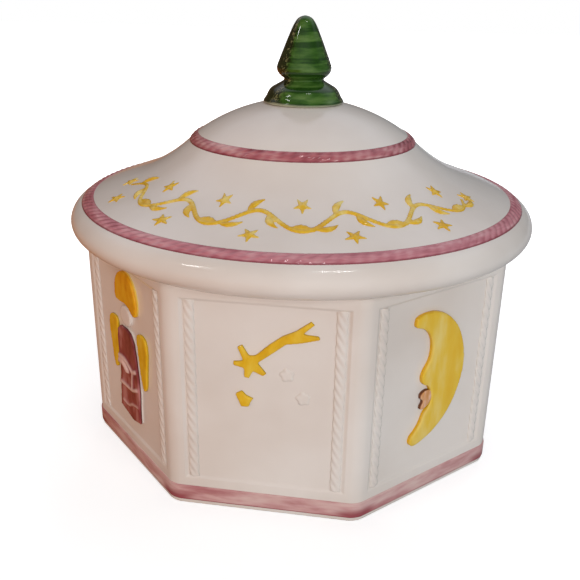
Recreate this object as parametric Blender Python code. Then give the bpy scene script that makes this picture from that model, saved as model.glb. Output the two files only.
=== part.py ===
"""Eight-sided glazed cookie jar with a round domed lid and a fir-tree knob.

Metres, +Z up. The origin is the centre of the foot. The comet panel faces -Y.
The jar is a slip-cast octagonal shell with a flat rim that turns in to a round
mouth. The lid is a slip-cast hollow shell whose ring drops into that mouth.
Ropes, pictures and bands are raised work fired onto the two shells.
"""

import math

import bmesh
import bpy
from mathutils import Matrix, Vector

MM = 0.001

# Points this close together are one point.
MERGE_WITHIN = 0.001 * MM

# Clearance left between two pieces that are fired together or rest on each other.
FIT = 0.3 * MM

# Panels in order round the jar, counter-clockwise from above, and the picture on each
PANELS = (
    ("front", "comet"),
    ("front_right", "moon"),
    ("right", "comet"),
    ("back_right", "angel"),
    ("back", "comet"),
    ("back_left", "moon"),
    ("left", "comet"),
    ("front_left", "angel"),
)

# Jar shell
ACROSS_FLATS = 184 * MM
BODY_HEIGHT = 98.2 * MM
CORNER_RADIUS = 8 * MM
JAR_WALL = 5 * MM
JAR_FLOOR = 6 * MM
INNER_FILLET = 3 * MM
SMALLEST_CORNER = 0.5 * MM
RIM_ROUND = 2 * MM
RIM_WIDTH = 17 * MM
RIM_THICKNESS = 5 * MM
LIP_ROUND = 1.2 * MM
FOOT_CHAMFER = 0.5 * MM
FOOT_WIDTH = 8 * MM
FOOT_RECESS = 1.8 * MM

# Painted band round the foot
FOOT_BAND_BOTTOM = 1.6 * MM
FOOT_BAND_HEIGHT = 7.8 * MM
FOOT_BAND_SEAT = 1.4 * MM
FOOT_BAND_PROUD = 0.5 * MM
FOOT_BAND_ROUND = 0.6 * MM

# Sunk panel of each side, and the ropes that stand beside it
PANEL_BOTTOM = 12.9 * MM
PANEL_TOP_MARGIN = 4.9 * MM
PANEL_DEPTH = 0.8 * MM
PANEL_SLOPE = 1.1 * MM
ROPE_INSET = 9.1 * MM
ROPE_WIDTH = 4.8 * MM
ROPE_HEIGHT = 1.4 * MM
ROPE_FLATNESS = 0.48
ROPE_STRANDS = 3
STRAND_SPACING = 4.6 * MM
ROPE_RINGS_PER_TURN = 6

# Lid shell, with heights above its seat on the rim
LID_WALL = 4.5 * MM
BRIM_OVERHANG = 6.1 * MM
BRIM_WIDEST_HEIGHT = 6.1 * MM
BRIM_UNDER_ROUND = 7 * MM
BRIM_ROLL_WIDTH = 5.0 * MM
DOME_CROWN = 56.5 * MM
DOME_RADIUS = 84 * MM
UPPER_BAND_SHARE = 0.449
UPPER_BAND_REACH = 4.2 * MM
UPPER_BAND_DROP = 3.7 * MM
COVE_SLOPE = math.radians(42)
SHOULDER_SHARE = 0.724
SHOULDER_HEIGHT = 22.9 * MM
SHOULDER_SLOPE = math.radians(21.5)
LOWER_BAND_REACH = 5.6 * MM
LOWER_BAND_DROP = 2.5 * MM
LOWER_BAND_HEIGHT = 13.4 * MM
BAND_RELIEF = 0.9 * MM
RING_CLEARANCE = 1.5 * MM
RING_DEPTH = 9 * MM
RING_ROUND = 1.4 * MM

# Fir-tree knob
KNOB_HEIGHT = 36.6 * MM
KNOB_TOP_RADIUS = 12.1 * MM
KNOB_WAIST_RADIUS = 8.9 * MM
KNOB_SKIRT_RADIUS = 17.9 * MM
KNOB_FOOT_CHAMFER = 0.6 * MM

# Raised pictures, drawn for a panel of this size and scaled to the real one
DRAWN_PANEL_HEIGHT = 80.4 * MM
DRAWN_PANEL_WIDTH = 53.2 * MM
PICTURE_RELIEF = 1.3 * MM
PICTURE_SLOPE = 0.5 * MM

# Number of facets
LID_STEPS = 56
KNOB_STEPS = 24
CORNER_STEPS = 3
BRIM_STEPS = 4

# Values worked out from the sizes above
SIDES = len(PANELS)
APOTHEM = ACROSS_FLATS / 2
TURN = 2 * math.pi / SIDES
MOUTH_RADIUS = APOTHEM - RIM_WIDTH
HALF_SIDE = APOTHEM * math.tan(TURN / 2)
CORNER_REACH = (APOTHEM - CORNER_RADIUS) / math.cos(TURN / 2) + CORNER_RADIUS
LID_RADIUS = CORNER_REACH + BRIM_OVERHANG
LID_SEAT = BODY_HEIGHT + FIT
ROPE_CENTRE = HALF_SIDE - ROPE_INSET
ROPE_INNER_EDGE = ROPE_CENTRE - ROPE_WIDTH / 2
PANEL_HALF_WIDTH = ROPE_CENTRE + ROPE_WIDTH / 2 + FIT + PANEL_SLOPE
PANEL_TOP = BODY_HEIGHT - PANEL_TOP_MARGIN
PANEL_MIDDLE = (PANEL_TOP + PANEL_BOTTOM) / 2
PICTURE_SCALE = min(
    (PANEL_TOP - PANEL_BOTTOM) / DRAWN_PANEL_HEIGHT,
    2 * ROPE_INNER_EDGE / DRAWN_PANEL_WIDTH,
)
UPPER_BAND_RADIUS = LID_RADIUS * UPPER_BAND_SHARE
SHOULDER_RADIUS = LID_RADIUS * SHOULDER_SHARE
LOWER_BAND_RADIUS = LID_RADIUS - BRIM_ROLL_WIDTH - LOWER_BAND_REACH
RING_RADIUS = MOUTH_RADIUS - RING_CLEARANCE


def clear_scene():
    """Remove whatever the scene holds."""
    for obj in list(bpy.data.objects):
        bpy.data.objects.remove(obj, do_unlink=True)


def glaze(name, colour, roughness):
    """A glossy fired glaze of one colour."""
    material = bpy.data.materials.new(name)
    material.use_nodes = True
    shader = material.node_tree.nodes["Principled BSDF"]
    shader.inputs["Base Color"].default_value = (*colour, 1.0)
    shader.inputs["Roughness"].default_value = roughness
    shader.inputs["Metallic"].default_value = 0.0
    material.diffuse_color = (*colour, 1.0)
    return material


def finish(name, bm, material, parent, smooth_angle=35):
    """Turn a bmesh into a named, smooth-shaded object under its parent."""
    mesh = bpy.data.meshes.new(name)
    bm.to_mesh(mesh)
    bm.free()
    mesh.materials.append(material)
    mesh.shade_smooth()
    mesh.set_sharp_from_angle(angle=math.radians(smooth_angle))
    obj = bpy.data.objects.new(name, mesh)
    bpy.context.scene.collection.objects.link(obj)
    obj.parent = parent
    obj.matrix_parent_inverse = parent.matrix_world.inverted()
    return obj


def body_empty(name, location):
    """The empty that a loose body hangs from, at the place where it seats."""
    empty = bpy.data.objects.new(name, None)
    empty.location = location
    bpy.context.scene.collection.objects.link(empty)
    bpy.context.view_layer.update()
    return empty


def skin(rings, closed_loop=False):
    """A closed body: the first ring is extruded to each of the next, which has as many points.

    The first and last rings are capped unless the rings close up to a loop.
    """
    bm = bmesh.new()
    verts = [bm.verts.new(point) for point in rings[0]]
    edges = [bm.edges.new(pair) for pair in zip(verts, verts[1:] + verts[:1])]
    first_edges = edges
    for ring in rings[1:] + rings[:1] * closed_loop:
        grown = bmesh.ops.extrude_edge_only(bm, edges=edges)["geom"]
        fresh = {item for item in grown if isinstance(item, bmesh.types.BMVert)}
        verts = [
            next(edge.other_vert(vert) for edge in vert.link_edges if edge.other_vert(vert) in fresh)
            for vert in verts
        ]
        for vert, point in zip(verts, ring):
            vert.co = point
        edges = [bm.edges.get(pair) for pair in zip(verts, verts[1:] + verts[:1])]
    if closed_loop:
        bmesh.ops.remove_doubles(bm, verts=bm.verts, dist=MERGE_WITHIN)
    else:
        bmesh.ops.edgeloop_fill(bm, edges=first_edges)
        bmesh.ops.edgeloop_fill(bm, edges=edges)
    bmesh.ops.recalc_face_normals(bm, faces=bm.faces)
    return bm


def turned(profile, steps):
    """A solid of revolution about Z from (radius, height) points, outer side first."""
    bm = bmesh.new()
    verts = [bm.verts.new((radius, 0, height)) for radius, height in profile]
    edges = [bm.edges.new(pair) for pair in zip(verts, verts[1:])]
    if profile[0][0] > 0:
        edges.append(bm.edges.new((verts[-1], verts[0])))
    bmesh.ops.spin(
        bm, geom=verts + edges, cent=(0, 0, 0), axis=(0, 0, 1),
        angle=2 * math.pi, steps=steps, use_merge=True, use_normal_flip=False,
    )
    bmesh.ops.remove_doubles(bm, verts=bm.verts, dist=MERGE_WITHIN)
    bmesh.ops.recalc_face_normals(bm, faces=bm.faces)
    return bm


def hermite(start, start_slope, end, end_slope, steps):
    """Points after start up to end on a smooth curve; slopes are angles below level."""
    reach = end[0] - start[0]
    points = []
    for i in range(1, steps + 1):
        t = i / steps
        h00 = 2 * t**3 - 3 * t**2 + 1
        h10 = t**3 - 2 * t**2 + t
        h01 = -2 * t**3 + 3 * t**2
        h11 = t**3 - t**2
        height = (
            h00 * start[1] - h10 * reach * math.tan(start_slope)
            + h01 * end[1] - h11 * reach * math.tan(end_slope)
        )
        points.append((start[0] + t * reach, height))
    return points


def quarter(start, corner, end, steps):
    """Points after start up to end on a quarter of an ellipse that heads for the corner."""
    points = []
    for i in range(1, steps + 1):
        t = math.pi / 2 * i / steps
        across = 1 - math.sin(t)
        along = 1 - math.cos(t)
        points.append(tuple(
            c + (s - c) * across + (e - c) * along
            for s, c, e in zip(start, corner, end)
        ))
    return points


def side_angle(side):
    """Direction that a side faces; side 0 is the front and the rest go counter-clockwise."""
    return -math.pi / 2 + side * TURN


def on_side(side, across, height, out):
    """World point on a side: across its face, above the foot, and out from its flat."""
    angle = side_angle(side)
    normal = Vector((math.cos(angle), math.sin(angle), 0))
    tangent = Vector((-math.sin(angle), math.cos(angle), 0))
    return normal * (APOTHEM + out) + tangent * across + Vector((0, 0, height))


def panel_marks(sunk):
    """Where a side's ring has points when a panel is sunk into it: (across, depth) pairs."""
    inner = PANEL_HALF_WIDTH - PANEL_SLOPE
    return (
        (-PANEL_HALF_WIDTH, 0.0), (-inner, sunk), (inner, sunk), (PANEL_HALF_WIDTH, 0.0),
    )


def even_marks():
    """As many points as panel_marks gives, spread evenly over the flat of a side."""
    flat = HALF_SIDE - CORNER_RADIUS * math.tan(TURN / 2)
    return tuple((flat * share, 0.0) for share in (-0.6, -0.2, 0.2, 0.6))


def octagon(inset, corner_radius, height, marks=()):
    """One level of the jar: flats with points at the marks, and rounded corners."""
    apothem = APOTHEM - inset
    radius = max(corner_radius, SMALLEST_CORNER)
    ring = []
    for side in range(SIDES):
        for across, sunk in marks:
            ring.append(on_side(side, across, height, -inset - sunk))
        middle = side_angle(side) + TURN / 2
        reach = (apothem - radius) / math.cos(TURN / 2)
        centre = Vector((math.cos(middle), math.sin(middle), 0)) * reach
        for i in range(CORNER_STEPS + 1):
            angle = side_angle(side) + TURN * i / CORNER_STEPS
            ring.append(centre + Vector((
                radius * math.cos(angle), radius * math.sin(angle), height,
            )))
    return ring


def circle(radius, height):
    """A round level with as many points as an octagon that has marks."""
    on_flat = len(even_marks())
    per_side = on_flat + CORNER_STEPS + 1
    ring = []
    for i in range(SIDES * per_side):
        side, step = divmod(i, per_side)
        angle = side_angle(side) + TURN * (step - (on_flat - 1) / 2) / per_side
        ring.append(Vector((
            radius * math.cos(angle), radius * math.sin(angle), height,
        )))
    return ring


def build_jar_body(material, parent):
    """Slip-cast shell: foot ring, band seat, sunk panels, flat rim, round mouth, inside."""
    band_top = FOOT_BAND_BOTTOM + FOOT_BAND_HEIGHT
    inner_corner = CORNER_RADIUS - JAR_WALL
    shelf = BODY_HEIGHT - RIM_THICKNESS
    flush = panel_marks(0)
    sunk = panel_marks(PANEL_DEPTH)
    even = even_marks()

    underside = [
        octagon(FOOT_CHAMFER + FOOT_WIDTH + FOOT_RECESS, CORNER_RADIUS, FOOT_RECESS, flush),
        octagon(FOOT_CHAMFER + FOOT_WIDTH, CORNER_RADIUS, 0, flush),
        octagon(FOOT_CHAMFER, CORNER_RADIUS, 0, flush),
    ]
    outside = [
        octagon(0, CORNER_RADIUS, FOOT_CHAMFER, flush),
        octagon(0, CORNER_RADIUS, FOOT_BAND_BOTTOM, flush),
        octagon(FOOT_BAND_SEAT, CORNER_RADIUS, FOOT_BAND_BOTTOM, flush),
        octagon(FOOT_BAND_SEAT, CORNER_RADIUS, band_top, flush),
        octagon(0, CORNER_RADIUS, band_top, flush),
        octagon(0, CORNER_RADIUS, PANEL_BOTTOM, flush),
        octagon(0, CORNER_RADIUS, PANEL_BOTTOM + PANEL_SLOPE, sunk),
        octagon(0, CORNER_RADIUS, PANEL_TOP - PANEL_SLOPE, sunk),
        octagon(0, CORNER_RADIUS, PANEL_TOP, flush),
        octagon(0, CORNER_RADIUS, BODY_HEIGHT - RIM_ROUND, even),
        octagon(RIM_ROUND * 0.3, CORNER_RADIUS, BODY_HEIGHT - RIM_ROUND * 0.3, even),
        octagon(RIM_ROUND, CORNER_RADIUS - RIM_ROUND, BODY_HEIGHT, even),
    ]
    mouth = [
        circle(MOUTH_RADIUS + LIP_ROUND, BODY_HEIGHT),
        circle(MOUTH_RADIUS, BODY_HEIGHT - LIP_ROUND),
        circle(MOUTH_RADIUS, shelf + LIP_ROUND),
        circle(MOUTH_RADIUS + LIP_ROUND, shelf),
    ]
    inside = [
        octagon(JAR_WALL + INNER_FILLET, inner_corner, shelf, even),
        octagon(JAR_WALL, inner_corner, shelf - INNER_FILLET, even),
        octagon(JAR_WALL, inner_corner, JAR_FLOOR + INNER_FILLET, even),
        octagon(JAR_WALL + INNER_FILLET, inner_corner, JAR_FLOOR, even),
    ]
    bm = skin(underside + outside + mouth + inside)
    return finish("jar_body", bm, material, parent)


def build_foot_band(material, parent):
    """Moulded band that lies in its seat round the foot."""
    inner = FOOT_BAND_SEAT - FIT
    outer = -FOOT_BAND_PROUD
    low = FOOT_BAND_BOTTOM + FIT
    high = FOOT_BAND_BOTTOM + FOOT_BAND_HEIGHT - FIT
    stations = (
        (inner, low), (outer + FOOT_BAND_ROUND, low), (outer, low + FOOT_BAND_ROUND),
        (outer, high - FOOT_BAND_ROUND), (outer + FOOT_BAND_ROUND, high), (inner, high),
    )
    rings = [
        octagon(inset, CORNER_RADIUS, height)
        for inset, height in stations
    ]
    return finish("foot_band", skin(rings, closed_loop=True), material, parent)


def build_rope(side, hand, material, parent):
    """Flattened twisted rope of three strands, standing in the panel along its side."""
    pitch = ROPE_STRANDS * STRAND_SPACING
    bottom = PANEL_BOTTOM + PANEL_SLOPE + FIT
    length = PANEL_TOP - PANEL_SLOPE - FIT - bottom
    count = max(2, round(length / pitch * ROPE_RINGS_PER_TURN))
    bm = bmesh.new()
    bmesh.ops.create_circle(bm, segments=ROPE_STRANDS, radius=1.0)
    bmesh.ops.spin(
        bm, geom=bm.verts[:] + bm.edges[:], cent=(0, 0, 0), axis=(0, 0, 1),
        dvec=(0, 0, length / count), angle=-2 * math.pi * length / pitch, steps=count,
    )
    bmesh.ops.holes_fill(bm, edges=bm.edges, sides=ROPE_STRANDS)
    centre = ROPE_CENTRE if hand == "right" else -ROPE_CENTRE
    flatten = Matrix.Diagonal((ROPE_WIDTH / 2, ROPE_HEIGHT * ROPE_FLATNESS, 1, 1))
    stand = Matrix.Translation((
        centre, -(APOTHEM - PANEL_DEPTH + FIT + ROPE_HEIGHT * (1 - ROPE_FLATNESS)), bottom,
    ))
    turn = Matrix.Rotation(side * TURN, 4, "Z")
    bmesh.ops.transform(bm, matrix=turn @ stand @ flatten, verts=bm.verts)
    bmesh.ops.recalc_face_normals(bm, faces=bm.faces)
    return finish(f"{hand}_rope_{PANELS[side][0]}", bm, material, parent, 60)


def raised(side, outline, relief=PICTURE_RELIEF):
    """A raised shape on a sunk panel, from points drawn in mm about the panel's middle."""
    base = FIT - PANEL_DEPTH
    bm = bmesh.new()
    verts = [
        bm.verts.new(on_side(
            side, across * MM * PICTURE_SCALE,
            PANEL_MIDDLE + height * MM * PICTURE_SCALE, base,
        ))
        for across, height in outline
    ]
    face = bm.faces.new(verts)
    angle = side_angle(side)
    normal = Vector((math.cos(angle), math.sin(angle), 0))
    face.normal_update()
    if face.normal.dot(normal) < 0:
        face.normal_flip()
    grown = bmesh.ops.extrude_face_region(bm, geom=[face], use_keep_orig=True)
    top = [item for item in grown["geom"] if isinstance(item, bmesh.types.BMFace)]
    moved = [item for item in grown["geom"] if isinstance(item, bmesh.types.BMVert)]
    rise = relief - PICTURE_SLOPE
    bmesh.ops.translate(bm, verts=moved, vec=normal * rise)
    bmesh.ops.inset_region(
        bm, faces=top, thickness=PICTURE_SLOPE, depth=PICTURE_SLOPE * 0.7, use_even_offset=True,
    )
    bmesh.ops.recalc_face_normals(bm, faces=bm.faces)
    return bm


def star(centre, tip, waist, turn=0.0, arms=5):
    """Outline of a star with blunt tips."""
    points = []
    for i in range(2 * arms):
        radius = tip if i % 2 == 0 else waist
        angle = math.radians(90 + turn) + math.pi * i / arms
        points.append((
            centre[0] + radius * math.cos(angle), centre[1] + radius * math.sin(angle),
        ))
    return points


def oval(centre, half_width, half_height, steps=10):
    """Outline of an oval."""
    return [
        (
            centre[0] + half_width * math.cos(2 * math.pi * i / steps),
            centre[1] + half_height * math.sin(2 * math.pi * i / steps),
        )
        for i in range(steps)
    ]


# Comet: a star whose fifth arm is drawn out into a forked tail.
COMET = (
    (-3.2, 18.6), (2.0, 23.6), (6.8, 27.4), (12.0, 30.0), (17.6, 34.3), (18.9, 33.0),
    (14.6, 28.9), (20.6, 28.6), (21.2, 27.2), (14.2, 25.2), (8.4, 24.2), (2.6, 19.4),
    (-1.8, 15.3), (0.9, 10.7), (-0.3, 9.6), (-4.1, 11.6), (-6.0, 8.2), (-7.9, 8.9),
    (-8.1, 12.4), (-12.0, 13.2), (-12.0, 15.2), (-8.6, 16.0), (-10.4, 21.3), (-8.4, 22.3),
    (-5.6, 18.4),
)
SMALL_STAR_CENTRE = (-8.1, -1.4)

# Crescent with a profile on its hollow side, from the upper tip round the back.
MOON = (
    (-12.2, 29.1), (-7.4, 31.6), (-0.6, 31.0), (5.4, 27.8), (11.0, 21.6), (15.0, 13.0),
    (16.4, 3.0), (15.4, -6.0), (12.4, -14.0), (6.6, -20.6), (-1.6, -25.8), (-9.8, -28.1),
    (-11.6, -26.4), (-8.6, -20.6), (-5.6, -16.6), (-5.0, -13.2), (-2.6, -10.8),
    (-2.4, -3.6), (-3.4, -0.9), (-7.0, 0.6), (-6.6, 2.4), (-4.2, 6.4), (-2.8, 12.6),
    (-3.2, 18.6), (-5.6, 23.6), (-8.8, 26.6),
)
MOON_LIPS = (
    (-3.1, -4.2), (-5.6, -3.2), (-6.6, -5.4), (-5.6, -7.2), (-6.2, -9.4), (-4.8, -10.8),
    (-3.2, -10.2),
)

# Angel: cap of hair over a plain round head, two wings and a long robe.
ANGEL_MIDDLE = 1.4
ANGEL_HAIR = (
    (-7.0, 24.6), (-7.3, 29.0), (-6.2, 33.4), (-3.2, 37.0), (1.2, 38.8), (5.8, 38.2),
    (9.6, 35.4), (12.0, 31.0), (12.8, 26.0), (11.8, 21.8), (9.4, 21.0), (6.6, 23.0),
    (2.2, 24.2), (-2.8, 24.0),
)
ANGEL_HEAD_CENTRE = (0.8, 18.2)
ANGEL_HEAD_SIZE = (5.4, 4.8)
ANGEL_WING = (
    (10.9, 12.4), (14.2, 14.6), (18.6, 13.4), (20.0, 8.0), (18.8, -1.0), (17.6, -8.8),
    (15.2, -11.4), (13.2, -6.6), (11.8, 2.0),
)
ANGEL_ROBE = (
    (-7.6, 9.8), (-4.4, 12.4), (1.6, 12.6), (5.4, 11.6), (8.2, 8.0), (9.4, 2.0),
    (10.6, -8.0), (11.0, -15.0), (10.2, -23.0), (10.2, -30.0), (3.0, -31.6), (-9.6, -28.8),
    (-8.4, -19.0), (-7.2, -8.0), (-8.0, 3.0),
)


def build_picture(side, glazes, parent):
    """The raised, painted picture of one panel."""
    place, kind = PANELS[side]
    if kind == "comet":
        shapes = (
            ("comet", COMET, "yellow"),
            ("small_star", star(SMALL_STAR_CENTRE, 3.6, 2.1, 8), "yellow"),
        )
    elif kind == "moon":
        shapes = (("moon", MOON, "yellow"), ("moon_lips", MOON_LIPS, "brown"))
    else:
        mirrored = tuple(
            (2 * ANGEL_MIDDLE - across, height) for across, height in reversed(ANGEL_WING)
        )
        shapes = (
            ("angel_hair", ANGEL_HAIR, "yellow"),
            ("angel_head", oval(ANGEL_HEAD_CENTRE, *ANGEL_HEAD_SIZE), "white"),
            ("angel_left_wing", mirrored, "yellow"),
            ("angel_right_wing", ANGEL_WING, "yellow"),
            ("angel_robe", ANGEL_ROBE, "burgundy"),
        )
    for name, outline, glaze_name in shapes:
        bm = raised(side, outline)
        finish(f"{name}_{place}", bm, glazes[glaze_name], parent)


def lid_outer_profile():
    """Top of the lid from its middle to the underside of the brim, above its seat.

    The two bands lie on straight stretches, whose ends are given as well.
    """
    def dome(radius):
        return radius, DOME_CROWN - DOME_RADIUS + math.sqrt(DOME_RADIUS**2 - radius**2)

    seat = dome(KNOB_SKIRT_RADIUS)
    profile = [(0.0, seat[1]), seat]
    profile += [
        dome(KNOB_SKIRT_RADIUS + (UPPER_BAND_RADIUS - KNOB_SKIRT_RADIUS) * share)
        for share in (0.45, 0.78, 1.0)
    ]
    upper = (
        profile[-1],
        (profile[-1][0] + UPPER_BAND_REACH, profile[-1][1] - UPPER_BAND_DROP),
    )
    profile.append(upper[1])
    shoulder = (SHOULDER_RADIUS, SHOULDER_HEIGHT)
    lower = (
        (LOWER_BAND_RADIUS, LOWER_BAND_HEIGHT + LOWER_BAND_DROP),
        (LOWER_BAND_RADIUS + LOWER_BAND_REACH, LOWER_BAND_HEIGHT),
    )
    band_slope = math.atan2(LOWER_BAND_DROP, LOWER_BAND_REACH)
    profile += hermite(upper[1], COVE_SLOPE, shoulder, SHOULDER_SLOPE, 4)
    profile += hermite(shoulder, SHOULDER_SLOPE, lower[0], band_slope, 2)
    profile.append(lower[1])
    widest = (LID_RADIUS, BRIM_WIDEST_HEIGHT)
    under = (LID_RADIUS - BRIM_UNDER_ROUND, 0.0)
    turn_in = (LID_RADIUS, LOWER_BAND_HEIGHT - BRIM_ROLL_WIDTH * math.tan(band_slope))
    profile += quarter(lower[1], turn_in, widest, BRIM_STEPS)
    profile += quarter(widest, (LID_RADIUS, 0.0), under, BRIM_STEPS)
    return profile, upper, lower


def moved_in(profile, distance):
    """The profile moved inwards by a wall's thickness, square to itself."""
    moved = []
    for i, point in enumerate(profile):
        before = Vector(profile[max(i - 1, 0)])
        after = Vector(profile[min(i + 1, len(profile) - 1)])
        along = (after - before).normalized()
        moved.append((point[0] + along.y * distance, point[1] - along.x * distance))
    return moved


def build_lid_shell(material, parent):
    """Hollow lid: dome, cove, rolled brim, flat underside and the ring in the mouth."""
    outer, _, _ = lid_outer_profile()
    ring_inner = RING_RADIUS - LID_WALL
    under = outer[-1]
    ring = [
        (RING_RADIUS + RING_ROUND, 0.0),
        (RING_RADIUS, -RING_ROUND),
        (RING_RADIUS, -RING_DEPTH + RING_ROUND),
        (RING_RADIUS - RING_ROUND, -RING_DEPTH),
        (ring_inner + RING_ROUND, -RING_DEPTH),
        (ring_inner, -RING_DEPTH + RING_ROUND),
        (ring_inner, LID_WALL - RING_ROUND),
        (ring_inner + RING_ROUND, LID_WALL),
        (under[0], LID_WALL),
    ]
    top = outer[: -2 * BRIM_STEPS]
    hollow = [(LID_RADIUS - LID_WALL, max(BRIM_WIDEST_HEIGHT, LID_WALL * 1.3))]
    hollow += moved_in(top, LID_WALL)[:1:-2]
    hollow.append((0.0, outer[0][1] - LID_WALL))
    profile = [
        (radius, LID_SEAT + height) for radius, height in outer + ring + hollow
    ]
    return finish("lid_shell", turned(profile, LID_STEPS), material, parent)


def build_band(name, ends, material, parent):
    """Raised band on a straight stretch of the lid's top."""
    start, end = (Vector(point) for point in ends)
    along = end - start
    normal = Vector((-along.y, along.x)).normalized()
    profile = []
    for share, rise in ((0.04, 0.0), (0.96, 0.0), (0.9, 0.6), (0.5, 1.0), (0.1, 0.6)):
        point = start + along * share + normal * (FIT + rise * BAND_RELIEF)
        profile.append((point.x, LID_SEAT + point.y))
    return finish(name, turned(profile[::-1], LID_STEPS), material, parent)


def build_knob(seat_height, material, parent):
    """Fir-tree knob: a tall blunt cone, a waist and a spreading skirt."""
    cone = (
        (0.0, 1.0), (0.14, 0.992), (0.27, 0.972), (0.42, 0.9), (0.57, 0.782),
        (0.76, 0.62), (0.94, 0.475), (1.0, 0.41), (0.96, 0.362),
    )
    skirt = ((0.0, 0.281), (0.1, 0.25), (0.4, 0.206), (0.65, 0.168), (0.8, 0.105), (1.0, 0.03))
    base = seat_height + FIT
    flare = KNOB_SKIRT_RADIUS - KNOB_WAIST_RADIUS
    profile = [
        (KNOB_TOP_RADIUS * width, base + KNOB_HEIGHT * height) for width, height in cone
    ]
    profile += [
        (KNOB_WAIST_RADIUS + flare * width, base + KNOB_HEIGHT * height)
        for width, height in skirt
    ]
    profile.append((KNOB_SKIRT_RADIUS - KNOB_FOOT_CHAMFER, base))
    profile.append((0.0, base))
    return finish("fir_tree_knob", turned(profile, KNOB_STEPS), material, parent)


def build():
    """Make both loose bodies and everything fired onto them."""
    clear_scene()
    glazes = {
        "white": glaze("white_glaze", (0.78, 0.74, 0.71), 0.16),
        "pink": glaze("pink_glaze", (0.52, 0.17, 0.21), 0.2),
        "yellow": glaze("yellow_glaze", (0.80, 0.47, 0.05), 0.2),
        "green": glaze("green_glaze", (0.05, 0.19, 0.05), 0.12),
        "brown": glaze("lip_glaze", (0.36, 0.10, 0.06), 0.2),
        "burgundy": glaze("burgundy_glaze", (0.29, 0.07, 0.09), 0.2),
    }
    jar = body_empty("jar", (0, 0, 0))
    lid = body_empty("lid", (0, 0, LID_SEAT))

    build_jar_body(glazes["white"], jar)
    build_foot_band(glazes["pink"], jar)
    for side in range(SIDES):
        for hand in ("left", "right"):
            build_rope(side, hand, glazes["white"], jar)
        build_picture(side, glazes, jar)

    outer, upper, lower = lid_outer_profile()
    build_lid_shell(glazes["white"], lid)
    build_band("upper_band", upper, glazes["pink"], lid)
    build_band("lower_band", lower, glazes["pink"], lid)
    build_knob(LID_SEAT + outer[0][1], glazes["green"], lid)


build()
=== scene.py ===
"""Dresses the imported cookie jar: glazed shells, raised painted work, light and camera.

Every piece is in metres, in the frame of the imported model: the foot stands on
z = 0, +Z runs up through the knob and the front panel faces -Y.
"""

import logging
import math
from dataclasses import dataclass, replace
from enum import Enum
from typing import Iterable, Iterator, Sequence

import bmesh
import bpy
from mathutils import Matrix, Vector


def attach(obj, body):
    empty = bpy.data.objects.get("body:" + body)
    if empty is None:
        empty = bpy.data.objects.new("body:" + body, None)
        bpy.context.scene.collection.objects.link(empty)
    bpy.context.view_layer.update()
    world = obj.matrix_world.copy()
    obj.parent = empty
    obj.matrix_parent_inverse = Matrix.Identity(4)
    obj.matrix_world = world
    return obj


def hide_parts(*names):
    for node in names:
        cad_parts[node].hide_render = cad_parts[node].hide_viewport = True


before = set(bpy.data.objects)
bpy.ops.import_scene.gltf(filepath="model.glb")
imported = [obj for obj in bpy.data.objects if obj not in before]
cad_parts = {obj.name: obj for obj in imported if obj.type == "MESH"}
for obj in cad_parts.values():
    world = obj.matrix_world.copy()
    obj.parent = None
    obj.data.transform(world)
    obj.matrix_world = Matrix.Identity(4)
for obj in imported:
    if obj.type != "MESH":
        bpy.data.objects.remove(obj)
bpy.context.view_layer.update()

log = logging.getLogger("cookie_jar")

MM = 0.001
Point2 = tuple[float, float]
Point3 = tuple[float, float, float]
Colour = Point3
Mesh = bmesh.types.BMesh
Edges = list[bmesh.types.BMEdge]
Material = bpy.types.Material
Node = bpy.types.Node
Piece = bpy.types.Object
Socket = bpy.types.NodeSocket

# How far the middle of a rounded edge lies in from the corner, as a share of its radius
MID_ROUND = 0.29
# The tones, from 0 to 1, at which brushed colour is dark, middling and pale
BRUSH_STOPS = (0.34, 0.50, 0.66)
# Waves of the glaze where it is painted, which are flatter than on the bare white
PAINTED_WAVES = 0.2 * MM
WHITE: Colour = (1.0, 1.0, 1.0)


class Body(Enum):
    """The two loose bodies of the object."""

    JAR = "jar"
    LID = "lid"


class Picture(Enum):
    """What a panel shows."""

    COMET = "comet"
    MOON = "moon"
    ANGEL = "angel"


class Panel(Enum):
    """The eight panels, counter-clockwise from above, with the picture on each."""

    FRONT = (0, "front", Picture.COMET)
    FRONT_RIGHT = (1, "front_right", Picture.MOON)
    RIGHT = (2, "right", Picture.COMET)
    BACK_RIGHT = (3, "back_right", Picture.ANGEL)
    BACK = (4, "back", Picture.COMET)
    BACK_LEFT = (5, "back_left", Picture.MOON)
    LEFT = (6, "left", Picture.COMET)
    FRONT_LEFT = (7, "front_left", Picture.ANGEL)

    @property
    def place(self) -> str:
        """The words that end the names of this panel's nodes."""
        return self.value[1]

    @property
    def picture(self) -> Picture:
        """The picture on this panel."""
        return self.value[2]

    @property
    def turn(self) -> Matrix:
        """The turn about Z that brings the front panel here."""
        return Matrix.Rotation(self.value[0] * math.tau / 8, 4, "Z")


# Modelling helpers


def add_loop(bm: Mesh, points: Iterable[Vector]) -> Edges:
    """Add a closed loop of edges through points, and tell them in order."""
    verts = [bm.verts.new(point) for point in points]
    return [bm.edges.new(pair) for pair in zip(verts, verts[1:] + verts[:1])]


def catmull_rom(points: Sequence[Point2], per_span: int) -> list[Point2]:
    """Draw a smooth line through points.

    Args:
        points: The points that the line goes through.
        per_span: How many pieces each span is cut into.

    Returns:
        The points of the smooth line, both ends included.
    """
    padded = [points[0], *points, points[-1]]
    line = []
    for p0, p1, p2, p3 in zip(padded, padded[1:], padded[2:], padded[3:]):
        for step in range(per_span):
            t = step / per_span
            line.append(tuple(
                0.5 * (2 * b + (c - a) * t + (2 * a - 5 * b + 4 * c - d) * t**2
                       + (3 * b - a - 3 * c + d) * t**3)
                for a, b, c, d in zip(p0, p1, p2, p3)
            ))
    return line + [points[-1]]


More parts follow.
